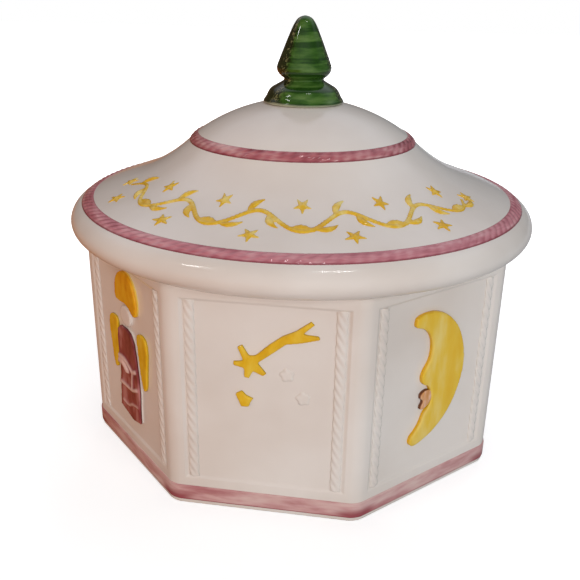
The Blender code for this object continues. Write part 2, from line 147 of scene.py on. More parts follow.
def closed_curve(points: Sequence[Point2], per_span: int) -> list[Point2]:
    """Draw a smooth closed line through points, without the first again at the end."""
    turns = [*points[-2:], *points, *points[:2]]
    line = catmull_rom(turns, per_span)
    return line[2 * per_span:(2 + len(points)) * per_span]


def hermite(
    start: Point2, start_slope: float, end: Point2, end_slope: float, steps: int
) -> list[Point2]:
    """Draw a smooth line between two points with given slopes.

    Args:
        start: Where it starts; this point is left out of the result.
        start_slope: Rise per run at the start.
        end: Where it ends.
        end_slope: Rise per run at the end.
        steps: How many points it has.

    Returns:
        Its points.
    """
    run = end[0] - start[0]
    line = []
    for step in range(1, steps + 1):
        t = step / steps
        line.append((
            start[0] + run * t,
            start[1] * (2 * t**3 - 3 * t**2 + 1) + end[1] * (3 * t**2 - 2 * t**3)
            + run * (start_slope * (t**3 - 2 * t**2 + t) + end_slope * (t**3 - t**2)),
        ))
    return line


def around(centre: Point2, reach: float, turn: float) -> Point2:
    """Tell the point at a distance from a centre, in a direction in radians."""
    return centre[0] + reach * math.cos(turn), centre[1] + reach * math.sin(turn)


def quarter(start: Point2, corner: Point2, end: Point2, steps: int) -> list[Point2]:
    """Draw a quarter of an ellipse that heads for a corner.

    Args:
        start: Where it starts; this point is left out of the result.
        corner: The corner that it rounds off.
        end: Where it ends.
        steps: How many points it has.

    Returns:
        Its points.
    """
    line = []
    for step in range(1, steps + 1):
        angle = math.pi / 2 * step / steps
        line.append(tuple(
            c + (s - c) * (1 - math.sin(angle)) + (e - c) * (1 - math.cos(angle))
            for s, c, e in zip(start, corner, end)
        ))
    return line


def turned(
    profile: Sequence[Point2], steps: int, bm: Mesh | None = None
) -> Mesh:
    """Spin a profile about Z.

    Args:
        profile: Points as radius and height, from one end of the section to the other.
        steps: Facets in a full turn.
        bm: A mesh that the solid is added to; a new one where it is left out.

    Returns:
        The mesh with the closed solid of revolution.
    """
    bm = bm or bmesh.new()
    verts = [bm.verts.new((radius, 0, height)) for radius, height in profile]
    edges = [bm.edges.new(pair) for pair in zip(verts, verts[1:])]
    if profile[0][0] > 0:
        edges.append(bm.edges.new((verts[-1], verts[0])))
    bmesh.ops.spin(
        bm, geom=verts + edges, cent=(0, 0, 0), axis=(0, 0, 1),
        angle=math.tau, steps=steps, use_merge=True,
    )
    bmesh.ops.remove_doubles(bm, verts=bm.verts, dist=1e-6)
    bmesh.ops.recalc_face_normals(bm, faces=bm.faces)
    return bm


def twisted_cord(
    length: float, pitch: float, strands: int, steps: int, sides: int = 10
) -> Mesh:
    """Twist strands into a cord of unit radius that runs up from the origin.

    Args:
        length: The cord's length.
        pitch: The height of one full turn of a strand, negative for the other hand.
        strands: How many strands there are.
        steps: How many lengths the cord is cut into.
        sides: Facets round one strand.

    Returns:
        A mesh of closed strands.
    """
    thick = 0.42
    bm = bmesh.new()
    for strand in range(strands):
        angle = math.tau * strand / strands
        place = Matrix.Translation((*around((0, 0), 1 - thick, angle), 0))
        bmesh.ops.create_circle(bm, segments=sides, radius=thick, matrix=place)
    bmesh.ops.spin(
        bm, geom=bm.verts[:] + bm.edges[:], cent=(0, 0, 0), axis=(0, 0, 1),
        dvec=(0, 0, length / steps), angle=math.tau * length / pitch, steps=steps,
    )
    bmesh.ops.holes_fill(bm, edges=bm.edges, sides=sides)
    bmesh.ops.recalc_face_normals(bm, faces=bm.faces)
    return bm


def raise_loop(
    bm: Mesh, edges: Edges, width: float,
    levels: Sequence[Point2],
) -> Edges:
    """Extrude a level loop through heights, scaling it to each one's width.

    Args:
        bm: The mesh.
        edges: The loop.
        width: The loop's own half width.
        levels: Half widths with heights.

    Returns:
        The last loop.
    """
    height = edges[0].verts[0].co.z
    for wide, level in levels:
        grown = bmesh.ops.extrude_edge_only(bm, edges=edges)["geom"]
        verts = [item for item in grown if isinstance(item, bmesh.types.BMVert)]
        edges = [
            item for item in grown
            if isinstance(item, bmesh.types.BMEdge) and all(v in verts for v in item.verts)
        ]
        share = wide / width
        bmesh.ops.scale(bm, vec=(share, share, 1), verts=verts)
        bmesh.ops.translate(bm, vec=(0, 0, level - height), verts=verts)
        width, height = wide, level
    return edges


def make_piece(
    name: str,
    bm: Mesh,
    body: Body,
    material: Material,
    stands_for: Sequence[str] = (),
    sharp: float = 180.0,
) -> Piece:
    """Turn a mesh into a piece that rides on a body.

    Args:
        name: The piece's name.
        bm: Its mesh, which this uses up.
        body: The body that carries it.
        material: Its finish.
        stands_for: The CAD nodes that it replaces.
        sharp: Edges that turn by more degrees than this stay sharp.

    Returns:
        The piece's object.
    """
    mesh = bpy.data.meshes.new(name)
    bm.to_mesh(mesh)
    bm.free()
    mesh.materials.append(material)
    mesh.shade_smooth()
    if sharp < 180.0:
        mesh.set_sharp_from_angle(angle=math.radians(sharp))
    piece = bpy.data.objects.new(name, mesh)
    bpy.context.scene.collection.objects.link(piece)
    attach(piece, body.value)
    if stands_for:
        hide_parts(*stands_for)
    log.info("%s: %d faces, on %s", name, len(mesh.polygons), body.value)
    return piece


def soften(piece: Piece, width: float, segments: int = 3, angle: float = 25) -> None:
    """Round a piece's edges off, as glaze does.

    Args:
        piece: The piece.
        width: The width of the rounding.
        segments: Facets across it.
        angle: Edges that turn by fewer degrees are left alone.
    """
    bevel = piece.modifiers.new("edge_rounding", "BEVEL")
    bevel.width = width
    bevel.segments = segments
    bevel.limit_method = "ANGLE"
    bevel.angle_limit = math.radians(angle)


def melt(piece: Piece, voxel: float, rounds: int) -> None:
    """Give a piece the melted look of clay under thick glaze.

    Args:
        piece: The piece.
        voxel: The size of the new mesh's facets.
        rounds: How often the surface is smoothed.
    """
    remesh = piece.modifiers.new("even_facets", "REMESH")
    remesh.mode = "VOXEL"
    remesh.voxel_size = voxel
    remesh.use_smooth_shade = True
    smooth = piece.modifiers.new("melted", "SMOOTH")
    smooth.factor = 0.5
    smooth.iterations = rounds


# Finishes


class Signal:
    """A number that shader nodes work out; arithmetic on it adds Math nodes."""

    def __init__(self, nodes: "NodeTree", socket: Socket) -> None:
        """Keep the tree and the output that holds the number."""
        self.nodes = nodes
        self.socket = socket

    def __add__(self, other: "Signal | float") -> "Signal":
        """Add a number."""
        return self.nodes.math("ADD", self, other)

    def __sub__(self, other: "Signal | float") -> "Signal":
        """Subtract a number."""
        return self.nodes.math("SUBTRACT", self, other)

    def __mul__(self, other: "Signal | float") -> "Signal":
        """Multiply by a number."""
        return self.nodes.math("MULTIPLY", self, other)

    def __abs__(self) -> "Signal":
        """Drop the sign."""
        return self.nodes.math("ABSOLUTE", self)


class NodeTree:
    """Builds a tree of shader nodes, with short calls for the common ones."""

    def __init__(self, tree: bpy.types.NodeTree) -> None:
        """Keep the tree that the calls add to."""
        self.tree = tree

    def add(self, kind: str, **settings: object) -> Node:
        """Add a node by its type, without the word ShaderNode, and set its attributes."""
        node = self.tree.nodes.new(f"ShaderNode{kind}")
        for key, value in settings.items():
            setattr(node, key, value)
        return node

    def feed(self, socket: Socket, source: object) -> None:
        """Link an output to a socket, or set the socket to a plain value."""
        if isinstance(source, Signal):
            source = source.socket
        if isinstance(source, Socket):
            self.tree.links.new(source, socket)
        else:
            socket.default_value = source

    def outputs(self, node: Node) -> dict[str, Signal]:
        """Tell a node's outputs by name."""
        return {output.name: Signal(self, output) for output in node.outputs}

    def place(self) -> Socket:
        """Tell the point that is shaded, in the piece's own coordinates."""
        return self.add("TexCoord").outputs["Object"]

    def math(self, operation: str, *sources: object) -> Signal:
        """Add a Math node that reads signals or numbers."""
        node = self.add("Math", operation=operation)
        for socket, source in zip(node.inputs, sources):
            self.feed(socket, source)
        return Signal(self, node.outputs[0])

    def noise(self, where: object, scale: object, detail: float = 2.0) -> Signal:
        """Add a Noise Texture from 0 to 1; the detail says how many finer layers it has."""
        node = self.add("TexNoise")
        for name, source in (("Vector", where), ("Scale", scale), ("Detail", detail)):
            self.feed(node.inputs[name], source)
        return Signal(self, node.outputs["Fac"])

    def ramp(
        self, value: Signal, stops: Sequence[float], colours: Sequence[Colour]
    ) -> Socket:
        """Add a Color Ramp.

        Args:
            value: What it reads.
            stops: Where each colour is pure.
            colours: The colours in order.

        Returns:
            The colour.
        """
        node = self.add("ValToRGB")
        elements = node.color_ramp.elements
        while len(elements) < len(stops):
            elements.new(0.5)
        for element, position, colour in zip(elements, stops, colours):
            element.position = position
            element.color = (*colour, 1.0)
        self.feed(node.inputs["Fac"], value)
        return node.outputs["Color"]

    def stretched(self, where: Socket, scale: Point3) -> Socket:
        """Scale coordinates; a pattern is drawn out where the scale is small."""
        node = self.add("Mapping")
        node.inputs["Scale"].default_value = scale
        self.feed(node.inputs["Vector"], where)
        return node.outputs["Vector"]

    def parts(self, vector: object) -> list[Signal]:
        """Split a vector into its X, Y and Z."""
        node = self.add("SeparateXYZ")
        self.feed(node.inputs[0], vector)
        return [Signal(self, output) for output in node.outputs]

    def length(self, first: Signal, second: Signal) -> Signal:
        """Tell the length of the hypotenuse over two sides."""
        return self.math("SQRT", first * first + second * second)

    def mask(self, value: object, low: float, high: float) -> Signal:
        """Stretch a value softly, from 0 at the low limit to 1 at the high one."""
        node = self.add("MapRange", interpolation_type="SMOOTHSTEP")
        for name, source in (("Value", value), ("From Min", low), ("From Max", high)):
            self.feed(node.inputs[name], source)
        return Signal(self, node.outputs["Result"])

    def mix(self, share: object, first: object, second: object) -> Socket:
        """Mix two colours.

        Args:
            share: How much of the second there is.
            first: A colour or a socket.
            second: A colour or a socket.

        Returns:
            The mixed colour.
        """
        node = self.add("Mix", data_type="RGBA")
        self.feed(node.inputs["Factor"], share)
        for name, source in (("A", first), ("B", second)):
            if not isinstance(source, Socket):
                source = (*source, 1.0)
            socket = next(s for s in node.inputs if s.name == name and s.type == "RGBA")
            self.feed(socket, source)
        return next(s for s in node.outputs if s.type == "RGBA")

    def group(self, tree: bpy.types.NodeTree, **values: object) -> dict[str, Signal]:
        """Place a node group, fed by the names of its inputs with _ for a space."""
        node = self.add("Group", node_tree=tree)
        for key, value in values.items():
            self.feed(node.inputs[key.replace("_", " ")], value)
        return self.outputs(node)


class GlazeEffects:
    """The node groups that more than one finish uses."""

    def __init__(self) -> None:
        """Build the groups."""
        self.flow = self._flow()
        self.brush = self._brush()
        self.rise = self._rise()

    @staticmethod
    def _start(
        name: str, vector: str, numbers: dict[str, float], outputs: Sequence[str]
    ) -> tuple[NodeTree, dict[str, Signal], bpy.types.bpy_prop_collection]:
        """Make an empty group.

        Args:
            name: Its name.
            vector: The name of its vector input.
            numbers: Its other inputs, all of them numbers, with their default values.
            outputs: Names of its outputs, all of them numbers.

        Returns:
            The group's tree, what it is given by name, and where its results go.
        """
        tree = bpy.data.node_groups.new(name, "ShaderNodeTree")
        tree.interface.new_socket(vector, in_out="INPUT", socket_type="NodeSocketVector")
        for label, value in numbers.items():
            socket = tree.interface.new_socket(
                label, in_out="INPUT", socket_type="NodeSocketFloat",
            )
            socket.default_value = value
        for label in outputs:
            tree.interface.new_socket(label, in_out="OUTPUT", socket_type="NodeSocketFloat")
        nodes = NodeTree(tree)
        given = nodes.outputs(tree.nodes.new("NodeGroupInput"))
        return nodes, given, tree.nodes.new("NodeGroupOutput").inputs

    def _flow(self) -> bpy.types.NodeTree:
        """Waves and dimples of a poured glaze, with its thick and thin places.

        Returns:
            The group, which puts out Height and Thickness.
        """
        nodes, given, result = self._start(
            "glaze_flow", "Position",
            {"Wave Scale": 45.0, "Dimple Scale": 420.0, "Dimple Share": 0.12},
            ("Height", "Thickness"),
        )
        where = given["Position"]
        waves = nodes.noise(where, given["Wave Scale"], 1.0)
        dimples = nodes.noise(where, given["Dimple Scale"])
        nodes.feed(result["Height"], waves + dimples * given["Dimple Share"])
        slow = given["Wave Scale"] * 0.45
        nodes.feed(result["Thickness"], nodes.noise(where, slow, 3.0))
        return nodes.tree

    def _brush(self) -> bpy.types.NodeTree:
        """Strokes of a loaded brush: long streaks, blotches and the ends of strokes.

        Returns:
            The group, which puts out Streaks and Load.
        """
        nodes, given, result = self._start(
            "brush_strokes", "Along",
            {"Streak Scale": 700.0, "Load Scale": 90.0, "Warp": 0.002},
            ("Streaks", "Load"),
        )
        shake = nodes.add("TexNoise")
        nodes.feed(shake.inputs["Vector"], given["Along"])
        nodes.feed(shake.inputs["Scale"], given["Load Scale"])
        push = nodes.add("VectorMath", operation="SCALE")
        nodes.feed(push.inputs[0], shake.outputs["Color"])
        nodes.feed(push.inputs["Scale"], given["Warp"])
        moved = nodes.add("VectorMath", operation="ADD")
        nodes.feed(moved.inputs[0], given["Along"])
        nodes.feed(moved.inputs[1], push.outputs[0])
        spot = moved.outputs[0]
        nodes.feed(result["Streaks"], nodes.noise(spot, given["Streak Scale"], 3.0))
        nodes.feed(result["Load"], nodes.noise(spot, given["Load Scale"]))
        return nodes.tree

    def _rise(self) -> bpy.types.NodeTree:
        """How far a point stands above the nearest of the octagon's sunk panels.

        Returns:
            The group, which puts out Rise in metres.
        """
        nodes, given, result = self._start(
            "panel_rise", "Position", {"Panel Distance": 0.09}, ("Rise",),
        )
        x, y, _ = nodes.parts(given["Position"])
        turn = nodes.math("WRAP", nodes.math("ARCTAN2", y, x), math.pi / 8, -math.pi / 8)
        out = nodes.length(x, y) * nodes.math("COSINE", turn)
        nodes.feed(result["Rise"], out - given["Panel Distance"])
        return nodes.tree


def new_material(name: str) -> tuple[Material, NodeTree, Node]:
    """Make a material, and hand it back with its tree and its Principled shader."""
    material = bpy.data.materials.new(name)
    material.use_nodes = True
    nodes = NodeTree(material.node_tree)
    return material, nodes, material.node_tree.nodes["Principled BSDF"]


@dataclass(frozen=True)
class Finish:
    """A glaze. Each kind says what colour it has and how it shines."""

    name: str

    def colour(self, nodes: NodeTree, shader: Node, effects: GlazeEffects) -> Socket:
        """Add the nodes of the glaze.

        Args:
            nodes: The material's tree.
            shader: Its Principled node.
            effects: The shared groups.

        Returns:
            The glaze's colour.
        """
        raise NotImplementedError

    def material(self, effects: GlazeEffects) -> Material:
        """Build the material.

        Args:
            effects: The shared groups.

        Returns:
            The finished material.
        """
        material, nodes, shader = new_material(self.name)
        nodes.feed(shader.inputs["Base Color"], self.colour(nodes, shader, effects))
        return material


@dataclass(frozen=True)
class WhiteGlaze(Finish):
    """Opaque warm white glaze, glossy, a little uneven in thickness."""

    name: str = "white_glaze"
    thick: Colour = (0.80, 0.745, 0.70)
    thin: Colour = (0.735, 0.665, 0.61)
    thin_to_thick: Point2 = (0.35, 0.62)
    roughness: float = 0.13
    uneven_gloss: float = 0.08
    wave_depth: float = 0.35 * MM
    wave_strength: float = 0.6

    def colour(self, nodes: NodeTree, shader: Node, effects: GlazeEffects) -> Socket:
        """Let the glaze flow: waves, uneven gloss, thick and thin places."""
        flow = nodes.group(effects.flow, Position=nodes.place())
        bump = nodes.add("Bump")
        bump.inputs["Distance"].default_value = self.wave_depth
        bump.inputs["Strength"].default_value = self.wave_strength
        nodes.feed(bump.inputs["Height"], flow["Height"])
        nodes.feed(shader.inputs["Normal"], bump.outputs["Normal"])
        rough = (flow["Thickness"] - 0.5) * self.uneven_gloss + self.roughness
        nodes.feed(shader.inputs["Roughness"], rough)
        return nodes.ramp(flow["Thickness"], self.thin_to_thick, (self.thin, self.thick))


@dataclass(frozen=True)
class BrushedGlaze(Finish):
    """Coloured glaze brushed on raised work, with an edge colour low on its sides; each colour
    says whether that is an outline, painted shade or a painted highlight.
    """

    dark: Colour
    middle: Colour
    pale: Colour
    edge: Colour
    stretch: Point3 = (1.0, 1.0, 0.45)
    streak_scale: float = 300.0
    streak_share: float = 0.55
    load_scale: float = 70.0
    roughness: float = 0.14
    panel: float = 91.2 * MM
    painted_from: float | None = 0.1 * MM
    fade: float = 0.25 * MM
    ragged: float = 0.4 * MM
    edge_rise: Point2 = (0.95 * MM, 0.35 * MM)
    ridge: Point2 | None = None
    ridge_colour: Colour = (0.74, 0.50, 0.45)

    def colour(self, nodes: NodeTree, shader: Node, effects: GlazeEffects) -> Socket:
        """Brush the colour over white, from the height where the paint starts."""
        white = WhiteGlaze(roughness=self.roughness, wave_depth=PAINTED_WAVES)
        bare = white.colour(nodes, shader, effects)
        where = nodes.place()
        brush = nodes.group(
            effects.brush, Along=nodes.stretched(where, self.stretch),
            Streak_Scale=self.streak_scale, Load_Scale=self.load_scale,
        )
        load = brush["Load"]
        tone = brush["Streaks"] * self.streak_share + load * (1 - self.streak_share)
        colour = nodes.ramp(tone, BRUSH_STOPS, (self.dark, self.middle, self.pale))
        if self.painted_from is None:
            return colour
        panel = nodes.group(effects.rise, Position=where, Panel_Distance=self.panel)
        rise = panel["Rise"] + (load - 0.5) * self.ragged
        if self.ridge:
            colour = nodes.mix(nodes.mask(rise, *self.ridge), colour, self.ridge_colour)
        # The edge colour fills the low sides and foot of the raised work: painted shade for the
        # yellow, a painted highlight for the ochre, the moonlight's own orange, an outline for the
        # brown and burgundy.
        colour = nodes.mix(nodes.mask(rise, *self.edge_rise), colour, self.edge)
        painted = nodes.mask(rise, self.painted_from - self.fade, self.painted_from)
        return nodes.mix(painted, bare, colour)


@dataclass(frozen=True)
class BandGlaze(Finish):
    """Pink glaze brushed round a band, ragged at its rims and streaked along it.

    Where the dark lower rim, partly painted shade, and the pools start, and how far the paint
    reaches, are in half widths.
    """

    centre: Point2
    half_width: float
    slope: Point2 = (0.0, 1.0)
    strands: int = 0
    strand_shading: float = 0.03
    corners: int = 0
    drawn_out: float = 0.22
    streak_scale: float = 600.0
    streak_share: float = 0.45
    load_scale: float = 220.0
    dark: Colour = (0.40, 0.105, 0.135)
    middle: Colour = (0.55, 0.20, 0.235)
    pale: Colour = (0.65, 0.33, 0.35)
    # Dark colour of the lower rim line, which is partly painted shade, and of the corner pools
    rim: Colour = (0.20, 0.035, 0.05)
    rim_and_shade_from: Point2 = (0.74, 0.98)
    rim_and_shade_shake: float = 0.5 * MM
    rim_and_shade_cover: float = 0.8
    pool_low: Point2 = (-0.5, 0.6)
    pool_near: Point2 = (-0.40, -0.72)
    pool_shake: float = 0.5
    pool_cover: float = 0.9
    reach: Point2 = (1.16, 1.0)
    ragged: float = 0.4

    def _mask(self, nodes: NodeTree, across: Signal, limits: Point2) -> Signal:
        """Mask by a distance across the band, with limits in half widths."""
        return nodes.mask(across, *(limit * self.half_width for limit in limits))

    def colour(self, nodes: NodeTree, shader: Node, effects: GlazeEffects) -> Socket:
        """Brush the band's colour along it, over white."""
        bare = WhiteGlaze(wave_depth=PAINTED_WAVES).colour(nodes, shader, effects)
        x, y, z = nodes.parts(nodes.place())
        outwards = nodes.length(x, y) - self.centre[0]
        across = outwards * self.slope[0] + (z - self.centre[1]) * self.slope[1]
        angle = nodes.math("ARCTAN2", y, x)
        along = nodes.add("CombineXYZ")
        nodes.feed(along.inputs["X"], angle * (self.centre[0] * self.drawn_out))
        nodes.feed(along.inputs["Y"], across)
        brush = nodes.group(
            effects.brush, Along=along.outputs[0],
            Streak_Scale=self.streak_scale, Load_Scale=self.load_scale,
        )
        load = brush["Load"]
        tone = brush["Streaks"] * self.streak_share + load * (1 - self.streak_share)
        # Each strand is painted lighter on one side and darker on the other: painted shading of
        # the rope's strands.
        if self.strands:
            slant = across * (math.pi / 2 / self.half_width)
            strand_shade = nodes.math("SINE", angle * self.strands + slant)
            tone = strand_shade * self.strand_shading + tone
        painted = nodes.ramp(tone, BRUSH_STOPS, (self.dark, self.middle, self.pale))
        # A dark line along the band's lower edge: partly the paint's darker rim, partly painted
        # shade under the edge.
        edge = self._mask(nodes, load * self.rim_and_shade_shake + across, self.rim_and_shade_from)
        painted = nodes.mix(edge * self.rim_and_shade_cover, painted, self.rim)
        if self.corners:
            turning = nodes.math("COSINE", angle * self.corners)
            near = nodes.mask(load * self.pool_shake + turning, *self.pool_near)
            pool = near * self._mask(nodes, across, self.pool_low) * self.pool_cover
            painted = nodes.mix(pool, painted, self.rim)
        distance = abs(across) + (load - 0.5) * (self.ragged * self.half_width)
        return nodes.mix(self._mask(nodes, distance, self.reach), bare, painted)


@dataclass(frozen=True)
class FirGlaze(Finish):
    """Green glaze in brushed tiers that turns brown and black along two sides: partly broken
    glaze, partly painted shade and painted reflection.
    """

    name: str = "fir_green"
    base: float = 153.37 * MM
    dark: Colour = (0.014, 0.052, 0.005)
    middle: Colour = (0.038, 0.108, 0.014)
    pale: Colour = (0.090, 0.180, 0.038)
    shade: Colour = (0.014, 0.015, 0.005)
    brown: Colour = (0.24, 0.215, 0.10)
    thin: Colour = (0.42, 0.43, 0.30)
    roughness: float = 0.09
    wave_depth: float = 0.025 * MM
    stretch: Point3 = (0.2, 0.2, 1.0)
    streak_scale: float = 380.0
    load_scale: float = 170.0
    warp: float = 0.001
    speckle_scale: float = 900.0
    tier: float = 6.1 * MM
    tier_shift: float = 2.15 * MM
    tier_shake: float = 2 * MM
    tier_depth: float = 0.2
    between_tiers: Point2 = (-0.25, -0.85)
    lightened: float = 0.03
    stops: Point3 = (0.36, 0.50, 0.66)
    # The turn from which the near-black sides, partly painted shade, lie a quarter turn away
    shaded_sides_turn: float = math.radians(-68)
    worn_and_shaded_from: Point2 = (0.74, 0.52)
    worn_and_shaded_shake: float = 0.5
    worn_and_shaded_cover: float = 0.9
    spots: Point2 = (0.50, 0.62)
    spots_near: Point2 = (0.30, 0.55)
    bare_rim: Point2 = (0.1 * MM, -1.1 * MM)
    bare_rim_and_shade_shake: float = 2.4 * MM

    def colour(self, nodes: NodeTree, shader: Node, effects: GlazeEffects) -> Socket:
        """Brush green tiers, darken two sides with broken glaze and painted shade, and thin the
        glaze at the base.
        """
        ground = WhiteGlaze(roughness=self.roughness, wave_depth=self.wave_depth)
        ground.colour(nodes, shader, effects)
        where = nodes.place()
        brush = nodes.group(
            effects.brush, Along=nodes.stretched(where, self.stretch),
            Streak_Scale=self.streak_scale, Load_Scale=self.load_scale, Warp=self.warp,
        )
        load = brush["Load"]
        x, y, z = nodes.parts(where)
        shaken = load * self.tier_shake + z + self.tier_shift
        tiers = nodes.math("SINE", shaken * (math.tau / self.tier))
        between = nodes.mask(tiers, *self.between_tiers)
        tone = brush["Streaks"] - between * self.tier_depth + self.lightened
        green = nodes.ramp(tone, self.stops, (self.dark, self.middle, self.pale))
        # The two sides a quarter turn from the given turn go near-black with tan spots: partly
        # broken glaze, partly painted shade and painted reflection of a dark room.
        angle = nodes.math("ARCTAN2", y, x)
        side = abs(nodes.math("COSINE", angle - self.shaded_sides_turn))
        speckle = nodes.noise(where, self.speckle_scale, 3.0)
        ragged = (speckle - 0.5) * self.worn_and_shaded_shake + side
        spots = nodes.mask(speckle, *self.spots) * nodes.mask(ragged, *self.spots_near)
        broken_and_shaded = nodes.mix(spots, self.shade, self.brown)
        worn_and_shaded = nodes.mask(ragged, *self.worn_and_shaded_from) * self.worn_and_shaded_cover
        low = nodes.mask(
            z - load * self.bare_rim_and_shade_shake, *(self.base + height for height in self.bare_rim)
        )
        return nodes.mix(low, nodes.mix(worn_and_shaded, green, broken_and_shaded), self.thin)


# The jar


@dataclass
class JarShell:
    """The octagonal cast shell, its foot, sunk panels, rim, mouth and inside."""

    across_flats: float = 184 * MM
    height: float = 98.2 * MM
    corner_radius: float = 8 * MM
    wall: float = 5 * MM
    floor: float = 6 * MM
    foot_recess: float = 1.8 * MM
    foot_width: float = 8 * MM
    foot_chamfer: float = 0.5 * MM
    panel_half_width: float = 32.8 * MM
    panel_bottom: float = 12.9 * MM
    panel_top: float = 93.3 * MM
    panel_depth: float = 0.8 * MM
    panel_slope: float = 1.1 * MM
    mouth_radius: float = 75 * MM
    rim_thickness: float = 5 * MM
    rim_round: float = 2 * MM
    lip_round: float = 1.2 * MM
    inner_fillet: float = 3 * MM
    edge_round: float = 0.7 * MM
    corner_steps: int = 10
    mouth_steps: int = 128

    @property
    def apothem(self) -> float:
        """The distance from the axis to a flat."""
        return self.across_flats / 2

    @property
    def panel_distance(self) -> float:
        """The distance from the axis to the ground of a sunk panel."""
        return self.apothem - self.panel_depth

    def octagon(
        self, bm: Mesh, apothem: float, radius: float, height: float
    ) -> bmesh.types.BMFace:
        """Add a flat octagon with rounded corners.

        Args:
            bm: The mesh that gets it.
            apothem: The distance from its middle to a flat.
            radius: The radius of its corners.
            height: Where it lies.

        Returns:
            Its face.
        """
        made = bmesh.ops.create_circle(
            bm, cap_ends=True, segments=8, radius=apothem / math.cos(math.pi / 8),
            matrix=Matrix.Translation((0, 0, height)) @ Matrix.Rotation(math.pi / 8, 4, "Z"),
        )["verts"]
        rounded = bmesh.ops.bevel(
            bm, geom=made, offset=radius * math.tan(math.pi / 8), offset_type="OFFSET",
            affect="VERTICES", segments=self.corner_steps, profile=0.5, material=-1,
        )
        corners = set(rounded["verts"])
        return next(face for face in bm.faces if corners <= set(face.verts))

    def build(self, glaze: Material) -> None:
        """Model the shell and give it its finish."""
        bm = bmesh.new()
        rim = self._outside(bm)
        self._sink_panels(bm)
        self._inside(bm, rim)
        bmesh.ops.recalc_face_normals(bm, faces=bm.faces)
        piece = make_piece("glazed_jar", bm, Body.JAR, glaze, ("jar_body",), sharp=60)
        soften(piece, self.edge_round)

    def _outside(self, bm: Mesh) -> Edges:
        """Raise the walls from the foot, with the foot's recess below.

        Args:
            bm: The mesh that gets them.

        Returns:
            The outer loop of the rim.
        """
        inset = self.apothem - self.foot_chamfer
        base = self.octagon(bm, inset, self.corner_radius, 0)
        edges = list(base.edges)
        bmesh.ops.delete(bm, geom=[base], context="FACES_ONLY")
        levels = (
            (self.apothem, self.foot_chamfer),
            (self.apothem, self.panel_bottom),
            (self.apothem, self.panel_top),
            (self.apothem, self.height - self.rim_round),
            (self.apothem - self.rim_round * MID_ROUND, self.height - self.rim_round * MID_ROUND),
            (self.apothem - self.rim_round, self.height),
        )
        rim = raise_loop(bm, edges, inset, levels)
        under = (
            (inset - self.foot_width, 0.0),
            (inset - self.foot_width - self.foot_recess, self.foot_recess),
        )
        recess = raise_loop(bm, edges, inset, under)
        bmesh.ops.edgeloop_fill(bm, edges=recess)
        return rim

    def _sink_panels(self, bm: Mesh) -> None:
        """Cut each flat at the panel's sides and sink what lies between."""
        middle = (self.panel_bottom + self.panel_top) / 2
        sunk = []
        for panel in Panel:
            out = panel.turn @ Vector((0, -1, 0))
            across = panel.turn @ Vector((1, 0, 0))
            for side in (-1, 1):
                flats = [
                    face for face in bm.faces
                    if face.normal.dot(out) ** 2 > 0.999
                    and self.panel_bottom < face.calc_center_median().z < self.panel_top
                    and face.calc_center_median().dot(out) > 0
                ]
                geometry = flats + list({e for f in flats for e in f.edges})
                geometry += list({v for f in flats for v in f.verts})
                bmesh.ops.bisect_plane(
                    bm, geom=geometry, plane_no=across,
                    plane_co=across * side * self.panel_half_width,
                )
            centre = out * self.apothem + Vector((0, 0, middle))
            sunk.append(min(
                bm.faces, key=lambda face: (face.calc_center_median() - centre).length,
            ))
        bmesh.ops.recalc_face_normals(bm, faces=bm.faces)
        outwards = sunk[0].normal.dot(sunk[0].calc_center_median()) > 0
        depth = -self.panel_depth if outwards else self.panel_depth
        bmesh.ops.inset_individual(
            bm, faces=sunk, thickness=self.panel_slope, depth=depth, use_even_offset=True,
        )

    def _inside(self, bm: Mesh, rim: Edges) -> None:
        """Turn the rim in to the round mouth and hollow the jar below it.

        Args:
            bm: The mesh with the outside.
            rim: The outer loop of the rim.
        """
        lip = self.lip_round
        under = self.height - self.rim_thickness
        inner = self.apothem - self.wall
        fillet = self.inner_fillet
        floor = self.octagon(bm, inner - fillet, self.corner_radius - self.wall, self.floor)
        levels = (
            (inner - fillet * MID_ROUND, self.floor + fillet * MID_ROUND),
            (inner, self.floor + fillet),
            (inner, under - fillet),
            (inner - fillet, under),
        )
        shelf = raise_loop(bm, list(floor.edges), inner - fillet, levels)
        mouth = bmesh.ops.create_circle(
            bm, segments=self.mouth_steps, radius=self.mouth_radius + lip,
            matrix=Matrix.Translation((0, 0, self.height)),
        )["verts"]
        top = list({edge for vert in mouth for edge in vert.link_edges})
        levels = (
            (self.mouth_radius + lip * MID_ROUND, self.height - lip * MID_ROUND),
            (self.mouth_radius, self.height - lip),
            (self.mouth_radius, under + lip),
            (self.mouth_radius + lip, under),
        )
        low = raise_loop(bm, top, self.mouth_radius + lip, levels)
        bmesh.ops.bridge_loops(bm, edges=rim + top)
        bmesh.ops.bridge_loops(bm, edges=shelf + low)


@dataclass
class FootBand:
    """The pink band that is laid round the foot."""

    bottom: float = 1.9 * MM
    height: float = 7.2 * MM
    proud: float = 0.45 * MM
    thickness: float = 1.5 * MM
    rounding: float = 0.65 * MM

    def build(self, shell: JarShell, glaze: Material) -> None:
        """Model the band.

        Args:
            shell: The jar that it lies on.
            glaze: Its finish.
        """
        bm = bmesh.new()
        width = shell.apothem + self.proud
        face = shell.octagon(bm, width, shell.corner_radius, self.bottom)
        edges = list(face.edges)
        bmesh.ops.delete(bm, geom=[face], context="FACES_ONLY")
        inner = width - self.thickness
        top = self.bottom + self.height
        round_section = ((width, top), (inner, top), (inner, self.bottom), (width, self.bottom))
        raise_loop(bm, edges, width, round_section)
        bmesh.ops.remove_doubles(bm, verts=bm.verts, dist=0.01 * MM)
        bmesh.ops.recalc_face_normals(bm, faces=bm.faces)
        piece = make_piece("painted_foot_band", bm, Body.JAR, glaze, ("foot_band",), sharp=60)
        soften(piece, self.rounding, segments=4)


